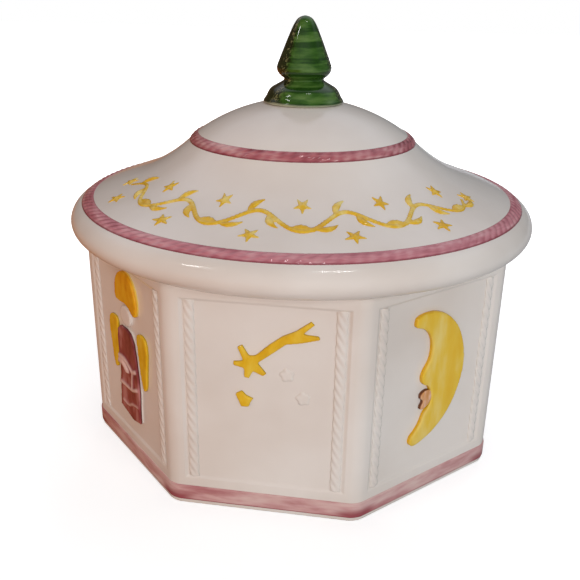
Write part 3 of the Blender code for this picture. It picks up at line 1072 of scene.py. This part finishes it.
@dataclass
class PanelRopes:
    """The pair of moulded ropes beside each panel."""

    centre: float = 29.0 * MM
    half_width: float = 2.5 * MM
    relief: float = 1.0 * MM
    bottom: float = 13.6 * MM
    top: float = 92.6 * MM
    pitch: float = 18.4 * MM
    strands: int = 4
    steps: int = 90
    voxel: float = 0.36 * MM
    rounds: int = 5

    def build(self, panel: Panel, shell: JarShell, glaze: Material) -> None:
        """Model one panel's two ropes.

        Args:
            panel: The panel.
            shell: The jar that they stand on.
            glaze: Their finish.
        """
        length = self.top - self.bottom
        for hand, side in (("left", -1), ("right", 1)):
            bm = twisted_cord(length, -self.pitch, self.strands, self.steps)
            flatten = Matrix.Diagonal((self.half_width, self.relief, 1, 1))
            stand = Matrix.Translation((side * self.centre, -shell.panel_distance, self.bottom))
            bmesh.ops.transform(bm, matrix=panel.turn @ stand @ flatten, verts=bm.verts)
            bmesh.ops.recalc_face_normals(bm, faces=bm.faces)
            piece = make_piece(
                f"moulded_rope_{hand}_{panel.place}", bm, Body.JAR, glaze,
                (f"{hand}_rope_{panel.place}",),
            )
            melt(piece, self.voxel, self.rounds)


@dataclass(frozen=True)
class Shape:
    """One raised shape of a picture, its outline with x to the right and y up."""

    node: str
    outline: tuple[Point2, ...]
    relief: float = 1.3 * MM
    colour: str = "yellow"
    curve_steps: int = 1
    rounds: int = 7


def oval(
    centre: Point2, half_width: float, half_height: float, steps: int = 24
) -> tuple[Point2, ...]:
    """Outline an oval.

    Args:
        centre: Its middle.
        half_width: Half its width.
        half_height: Half its height.
        steps: How many points it has.

    Returns:
        The outline's points.
    """
    return tuple(
        (
            centre[0] + half_width * math.cos(math.tau * step / steps),
            centre[1] + half_height * math.sin(math.tau * step / steps),
        )
        for step in range(steps)
    )


@dataclass
class PanelPictures:
    """The raised, painted pictures of the panels.

    Outlines, folds and the bare stars are in millimetres about the panel's middle.
    """

    middle: float = 53.1 * MM
    buried: float = 0.9 * MM
    voxel: float = 0.42 * MM

    comet: tuple[Point2, ...] = (
        (-3.2, 18.6), (2.0, 23.6), (6.8, 27.4), (12.0, 30.0), (17.6, 34.3), (18.9, 33.0),
        (14.6, 28.9), (20.6, 28.6), (21.2, 27.2), (14.2, 25.2), (8.4, 24.2), (2.6, 19.4),
        (-2.5, 15.4), (0.9, 11.2), (-0.3, 10.0), (-4.3, 11.8), (-5.8, 8.6), (-7.9, 9.0),
        (-7.7, 12.8), (-12.0, 13.8), (-12.0, 15.4), (-8.0, 15.9), (-10.4, 21.6), (-8.4, 22.6),
        (-5.8, 18.2),
    )
    small_star: tuple[Point2, ...] = (
        (-11.4, 1.4), (-8.6, 2.9), (-7.0, 1.0), (-4.1, -0.2), (-5.3, -2.0), (-5.9, -4.0),
        (-9.1, -4.2), (-10.0, -1.8),
    )
    moon: tuple[Point2, ...] = (
        (-12.9, 27.4), (-13.2, 29.6), (-12.4, 31.4), (-8.8, 32.4), (-3.2, 32.2), (2.4, 30.2),
        (7.4, 26.6), (11.8, 21.4), (15.0, 14.4), (16.6, 7.0), (16.4, 0.4), (14.8, -6.2),
        (12.0, -12.6), (7.6, -18.6), (1.6, -23.4), (-5.0, -26.4), (-9.6, -27.2),
        (-11.6, -25.4), (-11.2, -22.6), (-8.8, -20.4), (-6.2, -17.0), (-4.8, -13.4),
        (-2.4, -10.6), (-1.4, -7.2), (-2.2, -3.2), (-3.5, -0.8), (-5.6, 0.2), (-7.2, 1.9),
        (-7.5, 4.4), (-6.8, 6.7), (-5.3, 8.8), (-3.8, 11.2), (-3.2, 15.0), (-3.6, 19.4),
        (-5.6, 23.2), (-8.8, 25.8),
    )
    moon_lips: tuple[Point2, ...] = (
        (-4.0, -2.4), (-7.0, -3.6), (-7.2, -5.8), (-5.6, -7.0), (-6.8, -9.4), (-6.6, -11.0),
        (-3.4, -10.2), (-1.0, -7.6), (-1.4, -3.6),
    )
    angel_middle: float = 1.4
    angel_hair: tuple[Point2, ...] = (
        (-7.0, 24.6), (-7.3, 29.0), (-6.2, 33.4), (-3.2, 37.0), (1.2, 38.8), (5.8, 38.2),
        (9.6, 35.4), (12.0, 31.0), (12.8, 26.0), (11.8, 21.8), (9.4, 21.0), (6.6, 23.0),
        (2.2, 24.2), (-2.8, 24.0),
    )
    angel_head: tuple[Point2, float, float] = ((0.8, 18.2), 5.4, 4.8)
    angel_wing: tuple[Point2, ...] = (
        (10.9, 12.4), (14.2, 14.6), (18.6, 13.4), (20.0, 8.0), (18.8, -1.0), (17.6, -8.8),
        (15.2, -11.4), (13.2, -6.6), (11.8, 2.0),
    )
    angel_robe: tuple[Point2, ...] = (
        (-7.6, 9.8), (-4.4, 12.4), (1.6, 12.6), (5.4, 11.6), (8.2, 8.0), (9.4, 2.0),
        (10.6, -8.0), (11.0, -15.0), (10.2, -23.0), (10.2, -30.0), (3.0, -31.6),
        (-9.6, -28.8), (-8.4, -19.0), (-7.2, -8.0), (-8.0, 3.0),
    )
    robe_folds: tuple[tuple[float, tuple[Point2, ...]], ...] = (
        (1.2, ((-6.6, -2.6), (-0.8, -2.6), (3.5, -4.2), (6.4, -5.8), (9.4, -4.6))),
        (1.7, ((-5.8, -4.8), (-2.0, -4.8), (1.8, -7.0))),
        (1.0, ((6.4, -5.8), (5.4, -10.0), (4.6, -15.0))),
        (1.1, ((-6.8, -15.6), (-0.6, -15.4), (5.0, -15.2), (9.5, -13.4))),
        (0.8, ((-5.6, -24.6), (-0.4, -25.0), (4.0, -22.9), (9.2, -22.0))),
    )
    fold_steps: int = 9
    robe_relief: float = 1.6 * MM
    bare_stars: tuple[Point2, ...] = ((8.8, 11.0), (15.2, 1.4))
    bare_arms: int = 5
    bare_turn: float = 0.5
    bare_reach: float = 1.9
    bare_bead: float = 1.5 * MM
    bare_flatness: float = 0.27
    bare_rounds: int = 8

    def shapes(self, picture: Picture) -> tuple[Shape, ...]:
        """List the shapes of a picture.

        Args:
            picture: Which picture.

        Returns:
            Its shapes.
        """
        if picture is Picture.COMET:
            return (
                Shape("comet", self.comet, 1.15 * MM),
                Shape("small_star", self.small_star, 1.15 * MM, rounds=10),
            )
        if picture is Picture.MOON:
            return (
                Shape("moon", self.moon, 1.9 * MM, "moonlight", curve_steps=4, rounds=24),
                Shape("moon_lips", self.moon_lips, 1.7 * MM, "brown", curve_steps=3, rounds=8),
            )
        mirrored = tuple((2 * self.angel_middle - x, y) for x, y in reversed(self.angel_wing))
        wing = {"relief": 1.2 * MM, "curve_steps": 4, "rounds": 12}
        return (
            Shape("angel_hair", self.angel_hair, 1.8 * MM, "ochre", curve_steps=4, rounds=20),
            Shape("angel_head", oval(*self.angel_head), 1.3 * MM, "white", rounds=24),
            Shape("angel_left_wing", mirrored, **wing),
            Shape("angel_right_wing", self.angel_wing, **wing),
            Shape("angel_robe", self.angel_robe, self.robe_relief, "burgundy", rounds=6),
        )

    def _folds(self, bm: Mesh) -> None:
        """Lay the robe's folds on it as ridges, while it faces -Y about the origin."""
        top = -(self.buried + self.robe_relief)
        for bead, fold in self.robe_folds:
            for x, z in catmull_rom(fold, self.fold_steps):
                bmesh.ops.create_icosphere(
                    bm, subdivisions=1, radius=bead * MM,
                    matrix=Matrix.Translation((x * MM, top, z * MM)),
                )

    def _bare_stars(self, panel: Panel, shell: JarShell, glaze: Material) -> None:
        """Model the small moulded stars that were left unpainted beside the comet.

        Args:
            panel: The panel.
            shell: The jar that it stands on.
            glaze: Their finish.
        """
        bm = bmesh.new()
        stand = panel.turn @ Matrix.Translation((0, -shell.panel_distance, self.middle))
        flat = Matrix.Diagonal((1, self.bare_flatness, 1, 1))
        turns = [math.tau * arm / self.bare_arms + self.bare_turn for arm in range(self.bare_arms)]
        for star in self.bare_stars:
            for x, z in (*(around(star, self.bare_reach, turn) for turn in turns), star):
                bmesh.ops.create_icosphere(
                    bm, subdivisions=2, radius=self.bare_bead,
                    matrix=stand @ Matrix.Translation((x * MM, 0, z * MM)) @ flat,
                )
        piece = make_piece(f"bare_stars_{panel.place}", bm, Body.JAR, glaze)
        melt(piece, self.voxel, self.bare_rounds)

    def build(self, panel: Panel, shell: JarShell, glazes: dict[str, Material]) -> None:
        """Model one panel's picture.

        Args:
            panel: The panel.
            shell: The jar that it stands on.
            glazes: The finishes by colour word.
        """
        for shape in self.shapes(panel.picture):
            bm = bmesh.new()
            outline = shape.outline
            if shape.curve_steps > 1:
                outline = closed_curve(outline, shape.curve_steps)
            edges = add_loop(bm, (Vector((x * MM, 0, y * MM)) for x, y in outline))
            face = bmesh.ops.contextual_create(bm, geom=edges)["faces"]
            grown = bmesh.ops.extrude_face_region(bm, geom=face)["geom"]
            moved = [item for item in grown if isinstance(item, bmesh.types.BMVert)]
            bmesh.ops.translate(bm, verts=moved, vec=(0, -(shape.relief + self.buried), 0))
            if shape.node == "angel_robe":
                self._folds(bm)
            bmesh.ops.recalc_face_normals(bm, faces=bm.faces)
            stand = Matrix.Translation((0, self.buried - shell.panel_distance, self.middle))
            bmesh.ops.transform(bm, matrix=panel.turn @ stand, verts=bm.verts)
            node = f"{shape.node}_{panel.place}"
            piece = make_piece(f"raised_{node}", bm, Body.JAR, glazes[shape.colour], (node,))
            melt(piece, self.voxel, shape.rounds)
        if panel.picture is Picture.COMET:
            self._bare_stars(panel, shell, glazes["white"])


# The lid


@dataclass
class LidShell:
    """The hollow lid: dome, cove, shoulder, rolled brim and the ring in the mouth.

    Heights are above the lid's seat on the jar.
    """

    seat: float = 98.5 * MM
    radius: float = 105.02 * MM
    wall: float = 4.5 * MM
    crown: float = 56.5 * MM
    dome_radius: float = 84 * MM
    knob_seat: float = 17.9 * MM
    upper_band: tuple[Point2, Point2] = ((47.15 * MM, 42.02 * MM), (51.35 * MM, 38.32 * MM))
    cove_slope: float = -math.tan(math.radians(42))
    shoulder: Point2 = (76.03 * MM, 22.9 * MM)
    shoulder_slope: float = -math.tan(math.radians(21.5))
    lower_band: tuple[Point2, Point2] = ((94.42 * MM, 15.9 * MM), (100.02 * MM, 13.4 * MM))
    brim_widest: float = 6.1 * MM
    brim_corner: float = 11.17 * MM
    brim_under: float = 7 * MM
    ring_radius: float = 73.5 * MM
    ring_depth: float = 9 * MM
    ring_round: float = 1.4 * MM
    steps: int = 192
    dome_steps: int = 12
    cove_steps: int = 12
    shoulder_steps: int = 6
    brim_steps: int = 9

    def outer(self) -> list[Point2]:
        """Draw the outer side.

        Returns:
            Its points from the middle of the dome to the underside of the brim.
        """
        cove_start = self.upper_band[1]
        band_start, band_end = self.lower_band
        widest = (self.radius, self.brim_widest)
        corner = (self.radius, self.brim_corner)
        band_slope = (band_end[1] - band_start[1]) / (band_end[0] - band_start[0])
        radii = [self.knob_seat * share for share in (0.0, 0.5)] + [
            self.knob_seat + (self.upper_band[0][0] - self.knob_seat) * step / self.dome_steps
            for step in range(self.dome_steps + 1)
        ]
        line = [
            (radius, self.crown - self.dome_radius + math.sqrt(self.dome_radius**2 - radius**2))
            for radius in radii
        ]
        spans = (
            (cove_start, self.cove_slope, self.shoulder, self.shoulder_slope, self.cove_steps),
            (self.shoulder, self.shoulder_slope, band_start, band_slope, self.shoulder_steps),
        )
        line += [cove_start, *hermite(*spans[0]), *hermite(*spans[1]), band_end]
        line += quarter(band_end, corner, widest, self.brim_steps)
        under = (self.radius - self.brim_under, 0.0)
        return line + quarter(widest, (self.radius, 0.0), under, self.brim_steps)

    def on_top(self, radius: float, angle: float) -> tuple[Vector, Vector]:
        """Find a point on the outer side.

        Args:
            radius: Its distance from the axis.
            angle: Its angle from the front, counter-clockwise from above, in radians.

        Returns:
            The point and the direction straight out of the lid there.
        """
        line = self.outer()
        inner, outer = next(
            pair for pair in zip(line, line[1:]) if pair[0][0] <= radius <= pair[1][0]
        )
        share = (radius - inner[0]) / (outer[0] - inner[0])
        height = self.seat + inner[1] + (outer[1] - inner[1]) * share
        turn = Matrix.Rotation(angle, 3, "Z")
        slope = Vector((inner[1] - outer[1], outer[0] - inner[0])).normalized()
        return turn @ Vector((0, -radius, height)), turn @ Vector((0, -slope.x, slope.y))

    def build(self, glaze: Material) -> None:
        """Model the lid and give it its finish."""
        outer = self.outer()
        inner = self.ring_radius - self.wall
        rounding = self.ring_round
        ring = [
            (self.ring_radius + rounding, 0.0),
            (self.ring_radius, -rounding),
            (self.ring_radius, -self.ring_depth + rounding),
            (self.ring_radius - rounding, -self.ring_depth),
            (inner + rounding, -self.ring_depth),
            (inner, -self.ring_depth + rounding),
            (inner, self.wall - rounding),
            (inner + rounding, self.wall),
            (self.radius - self.brim_under, self.wall),
            (self.radius - self.wall, self.brim_widest),
        ]
        hollow = []
        top = outer[:outer.index(self.lower_band[1])]
        for before, point, after in zip(top, top[1:], top[2:]):
            along = (Vector(after) - Vector(before)).normalized()
            hollow.append((point[0] + along.y * self.wall, point[1] - along.x * self.wall))
        hollow = [(0.0, top[0][1] - self.wall), *hollow]
        profile = outer + ring + hollow[::-1]
        bm = turned([(radius, self.seat + height) for radius, height in profile], self.steps)
        make_piece("glazed_lid", bm, Body.LID, glaze, ("lid_shell",), sharp=50)


@dataclass
class LidBand:
    """A raised pink band: a flat strip with a rope's slanted strands pressed into it."""

    name: str
    node: str
    ends: tuple[Point2, Point2]
    seat: float
    pitch_turns: int
    strip_relief: float = 0.25 * MM
    strand_relief: float = 0.7 * MM
    strand_share: float = 0.97
    buried: float = 0.5 * MM
    rounding: float = 0.35 * MM
    strands: int = 4
    steps: int = 480
    voxel: float = 0.33 * MM
    rounds: int = 2

    @property
    def slope(self) -> Vector:
        """The direction across the band, outwards and down, of length one."""
        return (Vector(self.ends[1]) - Vector(self.ends[0])).normalized()

    @property
    def centre(self) -> Vector:
        """The middle of the band's width, as radius and height."""
        return (Vector(self.ends[0]) + Vector(self.ends[1])) / 2 + Vector((0, self.seat))

    @property
    def half_width(self) -> float:
        """Half the band's width."""
        return (Vector(self.ends[1]) - Vector(self.ends[0])).length / 2

    def place(self, across: float, up: float) -> Vector:
        """Tell the radius and height of a point across the band and above the lid."""
        out = Vector((-self.slope.y, self.slope.x))
        return self.centre + self.slope * across + out * up

    def build(self, glaze: Material) -> None:
        """Model the strip and melt a flattened, twisted cord into it."""
        bm = twisted_cord(math.tau, math.tau / self.pitch_turns, self.strands, self.steps, sides=8)
        for vert in bm.verts:
            across, up, angle = vert.co
            spot = self.place(
                across * self.half_width * self.strand_share, up * self.strand_relief,
            )
            vert.co = (*around((0, 0), spot.x, angle), spot.y)
        edge = self.half_width
        section = (
            (-edge, -self.buried),
            (-edge, self.strip_relief - self.rounding),
            (-edge + self.rounding, self.strip_relief),
            (edge - self.rounding, self.strip_relief),
            (edge, self.strip_relief - self.rounding),
            (edge, -self.buried),
        )
        turned([tuple(self.place(*point)) for point in section], self.steps, bm)
        piece = make_piece(self.name, bm, Body.LID, glaze, (self.node,))
        melt(piece, self.voxel, self.rounds)


@dataclass
class Garland:
    """A raised garland on the lid's front: a waving stem with leaves and small stars.

    It is trailed in slip, bead by bead, and the beads run together. Leaves and arms are
    listed as distances with radii, in millimetres.
    """

    middle_radius: float = 78.0 * MM
    middle_azimuth: float = 2.0
    reach: float = 64.0
    waves: int = 5
    swing: float = 5.4 * MM
    bead: float = 1.4 * MM
    bead_step: float = 1.4 * MM
    flatness: float = 0.6
    leaves_per_wave: int = 4
    leaf: tuple[Point2, ...] = (
        (1.4, 1.0), (2.6, 1.45), (3.9, 1.8), (5.2, 1.75), (6.5, 1.35), (7.6, 0.95), (8.5, 0.7),
    )
    leaf_turn: float = 62.0
    leaf_bend: float = 4.5
    star_arms: int = 5
    star_arm: tuple[Point2, ...] = ((1.7, 1.15), (2.8, 0.85), (3.6, 0.6))
    star_bead: float = 1.7 * MM
    star_distance: float = 8.6 * MM
    end_distance: float = 5 * MM
    taper: float = 0.3
    fade: float = 0.25
    wave_length_factor: float = 2.3
    voxel: float = 0.38 * MM
    rounds: int = 3

    def build(self, lid: LidShell, glaze: Material) -> None:
        """Model the garland.

        Args:
            lid: The lid that it lies on.
            glaze: Its finish.
        """
        bm = bmesh.new()
        flat = Matrix.Diagonal((1, 1, self.flatness, 1))
        for (along, off), radius in self.beads():
            angle = math.radians(self.middle_azimuth) + along / self.middle_radius
            place, normal = lid.on_top(self.middle_radius + off, angle)
            lie = normal.to_track_quat("Z", "Y").to_matrix().to_4x4()
            bmesh.ops.create_icosphere(
                bm, subdivisions=1, radius=radius,
                matrix=Matrix.Translation(place) @ lie @ flat,
            )
        piece = make_piece("trailed_garland", bm, Body.LID, glaze)
        melt(piece, self.voxel, self.rounds)

    def beads(self) -> Iterator[tuple[Point2, float]]:
        """List the flattened beads of slip: the stem's, then the leaves' and the stars'.

        Yields:
            A bead's place along and outwards from the lid's middle circle, and its radius.
        """
        length = self.wave_length_factor * math.radians(self.reach) * self.middle_radius
        count = round(length / self.bead_step)
        for step in range(count + 1):
            share = 2 * step / count - 1
            yield self.stem_point(share), self.bead * (1 - self.taper * share**4)
        leaves = self.waves * self.leaves_per_wave
        for step in range(leaves):
            yield from self._leaf(2 * (step + 0.5) / leaves - 1, 1 if step % 2 else -1)
        for step in range(2 * self.waves):
            along, off = self.stem_point((step + 0.5) / self.waves - 1)
            yield from self._star((along, -math.copysign(self.star_distance, off)))
        for side in (-1, 1):
            along, off = self.stem_point(side)
            yield from self._star((along + side * self.end_distance, off))

    def stem_point(self, share: float) -> Point2:
        """Tell where the stem runs, at a share of it from -1 to 1."""
        along = math.radians(self.reach) * share * self.middle_radius
        wave = math.sin(math.pi * self.waves * share) * (1 - self.fade * share**2)
        return along, self.swing * wave

    def _leaf(self, share: float, side: int) -> Iterator[tuple[Point2, float]]:
        """List the beads of a leaf.

        Args:
            share: Its place along the stem.
            side: 1 for outwards, -1 for inwards.

        Yields:
            A bead's place and radius.
        """
        start = self.stem_point(share)
        ahead = self.stem_point(share + 0.01)
        heading = math.atan2(ahead[1] - start[1], ahead[0] - start[0])
        for distance, radius in self.leaf:
            turn = heading + side * math.radians(self.leaf_turn - self.leaf_bend * distance)
            yield around(start, distance * MM, turn), radius * MM

    def _star(self, centre: Point2) -> Iterator[tuple[Point2, float]]:
        """List the beads of a small star by place and radius."""
        yield centre, self.star_bead
        for arm in range(self.star_arms):
            turn = math.tau * (arm / self.star_arms + 0.25)
            for reach, radius in self.star_arm:
                yield around(centre, reach * MM, turn), radius * MM


@dataclass
class Knob:
    """The fir-tree knob, its profile in millimetres from the top down."""

    base: float = 153.37 * MM
    steps: int = 72
    curve_steps: int = 4
    profile: tuple[Point2, ...] = (
        (0.0, 36.6), (1.7, 36.2), (3.2, 35.3), (4.3, 33.9), (5.4, 31.9), (6.9, 28.6),
        (8.4, 25.0), (9.9, 21.2), (11.3, 17.8), (12.0, 15.8), (12.1, 14.5), (11.6, 13.0),
        (10.3, 11.5), (9.1, 10.6), (8.9, 9.8), (9.9, 9.0), (12.4, 7.6), (14.6, 6.2),
        (15.8, 4.6), (16.8, 2.6), (17.8, 1.1), (17.9, 0.4), (17.4, 0.0),
    )

    def build(self, glaze: Material) -> None:
        """Model the knob and give it its finish."""
        line = catmull_rom(self.profile, self.curve_steps) + [(0.0, 0.0)]
        bm = turned([(r * MM, self.base + z * MM) for r, z in line], self.steps)
        make_piece("glazed_fir_tree", bm, Body.LID, glaze, ("fir_tree_knob",))


# The setting


@dataclass(frozen=True)
class Viewpoint:
    """The camera, placed as the photograph was taken; lengths in metres, angles in degrees."""

    azimuth: float = 7.991
    distance: float = 0.3400
    height: float = 0.1996
    yaw: float = -0.773
    pitch: float = 22.007
    roll: float = 0.989
    focal_pixels: float = 740.0
    frame_pixels: float = 580.0
    sensor_width: float = 36.0

    def build(self) -> None:
        """Place the camera."""
        azimuth = math.radians(self.azimuth)
        camera = bpy.data.cameras.new("camera")
        camera.sensor_fit = "HORIZONTAL"
        camera.sensor_width = self.sensor_width
        camera.lens = self.focal_pixels / self.frame_pixels * self.sensor_width
        camera.clip_start = 0.01
        holder = bpy.data.objects.new("camera", camera)
        turn = (
            Matrix.Rotation(azimuth, 4, "Z")
            @ Matrix.Rotation(math.radians(90), 4, "X")
            @ Matrix.Rotation(math.radians(-self.yaw), 4, "Y")
            @ Matrix.Rotation(math.radians(-self.pitch), 4, "X")
            @ Matrix.Rotation(math.radians(self.roll), 4, "Z")
        )
        place = Matrix.Translation((
            math.sin(azimuth) * self.distance, -math.cos(azimuth) * self.distance, self.height,
        ))
        holder.matrix_world = place @ turn
        bpy.context.scene.collection.objects.link(holder)
        bpy.context.scene.camera = holder


@dataclass(frozen=True)
class Lamp:
    """One oblong lamp; its long side lies along a given direction."""

    name: str
    place: Point3
    size: tuple[float, float]
    watts: float
    colour: Colour = (1.0, 1.0, 1.0)
    along: Point3 = (1.0, 0.0, 0.0)
    mirrored: bool = True
    aim: Point3 = (0.0, 0.0, 0.11)

    def build(self) -> None:
        """Place the lamp, turned to its aim."""
        lamp = bpy.data.lights.new(self.name, "AREA")
        lamp.shape = "RECTANGLE"
        lamp.size, lamp.size_y = self.size
        lamp.energy = self.watts
        lamp.color = self.colour
        back = (Vector(self.place) - Vector(self.aim)).normalized()
        up = back.cross(Vector(self.along)).normalized()
        side = up.cross(back)
        holder = bpy.data.objects.new(self.name, lamp)
        turn = Matrix((side, up, back)).transposed().to_4x4()
        holder.matrix_world = Matrix.Translation(self.place) @ turn
        holder.visible_glossy = self.mirrored
        bpy.context.scene.collection.objects.link(holder)


@dataclass(frozen=True)
class Studio:
    """Pale floor, white surround and soft light, warmer from the left.

    Pairs are the limits between which one tint or colour passes into the next.
    """

    floor_size: float = 8.0
    floor_roughness: float = 0.95
    shadow_reach: Point2 = (0.11, 0.42)
    near_glow: float = 0.66
    far_glow: float = 1.08
    bounce_turn: Point2 = (-0.10, 0.02)
    to_right: Point2 = (-0.6, 0.25)
    to_front: Point2 = (-0.3, -1.0)
    to_above: Point2 = (0.35, 0.65)
    to_back: Point2 = (-0.15, 0.35)
    floor_colour: Colour = (0.60, 0.61, 0.62)
    left_bounce: Colour = (0.50, 0.16, 0.02)
    right_bounce: Colour = (0.50, 0.51, 0.53)
    left_tint: Colour = (0.11, 0.07, 0.04)
    right_tint: Colour = (0.11, 0.12, 0.125)
    front_tint: Colour = (0.50, 0.47, 0.51)
    above_tint: Colour = (0.68, 0.70, 0.77)
    lamps: tuple[Lamp, ...] = (
        Lamp(
            "soft_left", (-1.12, -1.60, 0.42), (1.6, 1.3), 7.8, (1.0, 0.66, 0.42),
            mirrored=False,
        ),
        Lamp(
            "soft_right", (0.82, -1.76, 0.55), (1.6, 1.3), 20.5, (0.96, 1.0, 0.99),
            mirrored=False,
        ),
        Lamp("low_back", (0.20, 1.95, 0.65), (1.6, 1.2), 16.0, mirrored=False),
        Lamp(
            "left_tube", (-0.83, -0.68, 1.15), (0.30, 0.03), 1.1,
            along=(-0.82, 0.22, -0.52),
        ),
        Lamp("right_tube", (0.36, -0.48, 1.50), (0.30, 0.03), 1.3, along=(0.95, 0.25, -0.15)),
    )

    def build(self) -> None:
        """Place the floor, the lamps and the surround."""
        for lamp in self.lamps:
            lamp.build()
        self._surround()
        self._floor()

    def _surround(self) -> None:
        """Light the scene softly and show white behind the object."""
        world = bpy.data.worlds.new("surround")
        bpy.context.scene.world = world
        world.use_nodes = True
        nodes = NodeTree(world.node_tree)
        background = world.node_tree.nodes["Background"]
        x, y, z = nodes.parts(nodes.add("TexCoord").outputs["Generated"])
        light = nodes.mix(nodes.mask(x, *self.to_right), self.left_tint, self.right_tint)
        light = nodes.mix(nodes.mask(y, *self.to_front), light, self.front_tint)
        above = nodes.mask(z, *self.to_above) * nodes.mask(y, *self.to_back)
        light = nodes.mix(above, light, self.above_tint)
        seen = nodes.add("LightPath").outputs["Is Camera Ray"]
        nodes.feed(background.inputs["Color"], nodes.mix(seen, light, WHITE))

    def _floor(self) -> None:
        """Lay the floor: white for the camera, and browner on the left as a source of light."""
        bm = bmesh.new()
        bmesh.ops.create_grid(bm, x_segments=1, y_segments=1, size=self.floor_size / 2)
        mesh = bpy.data.meshes.new("floor")
        bm.to_mesh(mesh)
        bm.free()
        floor = bpy.data.objects.new("floor", mesh)
        bpy.context.scene.collection.objects.link(floor)
        material, nodes, shader = new_material("pale_floor")
        shader.inputs["Roughness"].default_value = self.floor_roughness
        shader.inputs["Emission Color"].default_value = (*WHITE, 1.0)
        x, y, _ = nodes.parts(nodes.place())
        far = nodes.mask(nodes.length(x, y), *self.shadow_reach)
        glow = far * (self.far_glow - self.near_glow) + self.near_glow
        seen = nodes.add("LightPath").outputs["Is Camera Ray"]
        bounce = nodes.mask(x, *self.bounce_turn)
        bounce = nodes.mix(bounce, self.left_bounce, self.right_bounce)
        nodes.feed(shader.inputs["Base Color"], nodes.mix(seen, bounce, self.floor_colour))
        nodes.feed(shader.inputs["Emission Strength"], glow * seen)
        mesh.materials.append(material)


def mix_glazes(shell: JarShell, effects: GlazeEffects) -> dict[str, Material]:
    """Build the finishes of the shells and of the raised work on them.

    Args:
        shell: The jar, from whose panels the paint's height is measured.
        effects: The shared groups.

    Returns:
        The materials by colour word.
    """
    yellow = BrushedGlaze(
        "brushed_yellow", (0.68, 0.37, 0.009), (0.79, 0.47, 0.014), (0.84, 0.57, 0.050),
        # The olive edge colour at the foot of the comet, star and wings is partly glaze pooled in
        # the crease and partly painted shade.
        edge=(0.56, 0.36, 0.015), panel=shell.panel_distance,
    )
    finishes = {
        "white": WhiteGlaze(),
        "yellow": yellow,
        "moonlight": replace(
            yellow, name="brushed_moonlight", dark=(0.79, 0.45, 0.010),
            middle=(0.82, 0.54, 0.042), pale=(0.86, 0.66, 0.19), edge=(0.78, 0.43, 0.008),
            edge_rise=(1.75 * MM, 0.9 * MM), stretch=(1.0, 1.0, 0.3), streak_scale=180.0,
        ),
        "trailed": replace(
            yellow, name="trailed_yellow", middle=(0.75, 0.47, 0.03), pale=(0.81, 0.66, 0.22),
            painted_from=None,
        ),
        "ochre": replace(
            yellow, name="brushed_ochre", dark=(0.62, 0.25, 0.004), middle=(0.77, 0.35, 0.006),
            # The pale edge colour on the hair's sides is a painted highlight.
            pale=(0.84, 0.48, 0.02), edge=(0.84, 0.60, 0.10),
        ),
        "brown": replace(
            yellow, name="brushed_brown", dark=(0.50, 0.19, 0.04), middle=(0.68, 0.32, 0.12),
            pale=(0.84, 0.56, 0.42), edge=(0.15, 0.045, 0.012), streak_scale=500.0,
            edge_rise=(1.50 * MM, 1.15 * MM),
        ),
        "burgundy": replace(
            yellow, name="brushed_burgundy", dark=(0.16, 0.020, 0.026),
            middle=(0.29, 0.060, 0.066), pale=(0.50, 0.21, 0.21), edge=(0.11, 0.018, 0.018),
            painted_from=0.7 * MM, edge_rise=(1.4 * MM, 0.8 * MM), ridge=(1.65 * MM, 2.5 * MM),
            streak_scale=220.0, load_scale=120.0,
        ),
    }
    return {word: finish.material(effects) for word, finish in finishes.items()}


def build_jar(
    shell: JarShell, glazes: dict[str, Material], effects: GlazeEffects
) -> None:
    """Build what stands on the table.

    Args:
        shell: The jar's shell.
        glazes: The finishes by colour word.
        effects: The shared groups.
    """
    shell.build(glazes["white"])
    foot = FootBand()
    pink = BandGlaze(
        "foot_pink", (shell.apothem, foot.bottom + foot.height / 2), foot.height / 2,
        slope=(0.0, -1.0), corners=8, dark=(0.46, 0.18, 0.19), middle=(0.63, 0.37, 0.36),
        pale=(0.72, 0.53, 0.50), rim=(0.30, 0.05, 0.065), streak_scale=450.0, load_scale=150.0,
    )
    foot.build(shell, pink.material(effects))
    ropes = PanelRopes()
    pictures = PanelPictures()
    for panel in Panel:
        ropes.build(panel, shell, glazes["white"])
        pictures.build(panel, shell, glazes)


def build_lid(
    lid: LidShell, glazes: dict[str, Material], effects: GlazeEffects
) -> None:
    """Build what lifts off with the knob.

    Args:
        lid: The lid's shell.
        glazes: The finishes by colour word.
        effects: The shared groups.
    """
    lid.build(glazes["white"])
    upper = LidBand("painted_upper_band", "upper_band", lid.upper_band, lid.seat, 16)
    lower = LidBand("painted_lower_band", "lower_band", lid.lower_band, lid.seat, 32)
    deeper = {
        "dark": (0.20, 0.026, 0.04), "middle": (0.44, 0.13, 0.15), "pale": (0.63, 0.35, 0.35),
        "streak_scale": 420.0, "load_scale": 110.0,
    }
    for band, colours in ((upper, deeper), (lower, {})):
        pink = BandGlaze(
            f"{band.node}_pink", tuple(band.centre), band.half_width, tuple(band.slope),
            strands=band.strands * band.pitch_turns, **colours,
        )
        band.build(pink.material(effects))
    Knob().build(FirGlaze().material(effects))
    Garland().build(lid, glazes["trailed"])


def main() -> None:
    """Build the object and its setting."""
    logging.basicConfig(level=logging.INFO, format="%(name)s: %(message)s")
    bpy.context.scene.view_settings.view_transform = "Standard"
    Viewpoint().build()
    Studio().build()

    effects = GlazeEffects()
    shell = JarShell()
    glazes = mix_glazes(shell, effects)
    build_jar(shell, glazes, effects)
    build_lid(LidShell(), glazes, effects)


if __name__ == "__main__":
    main()
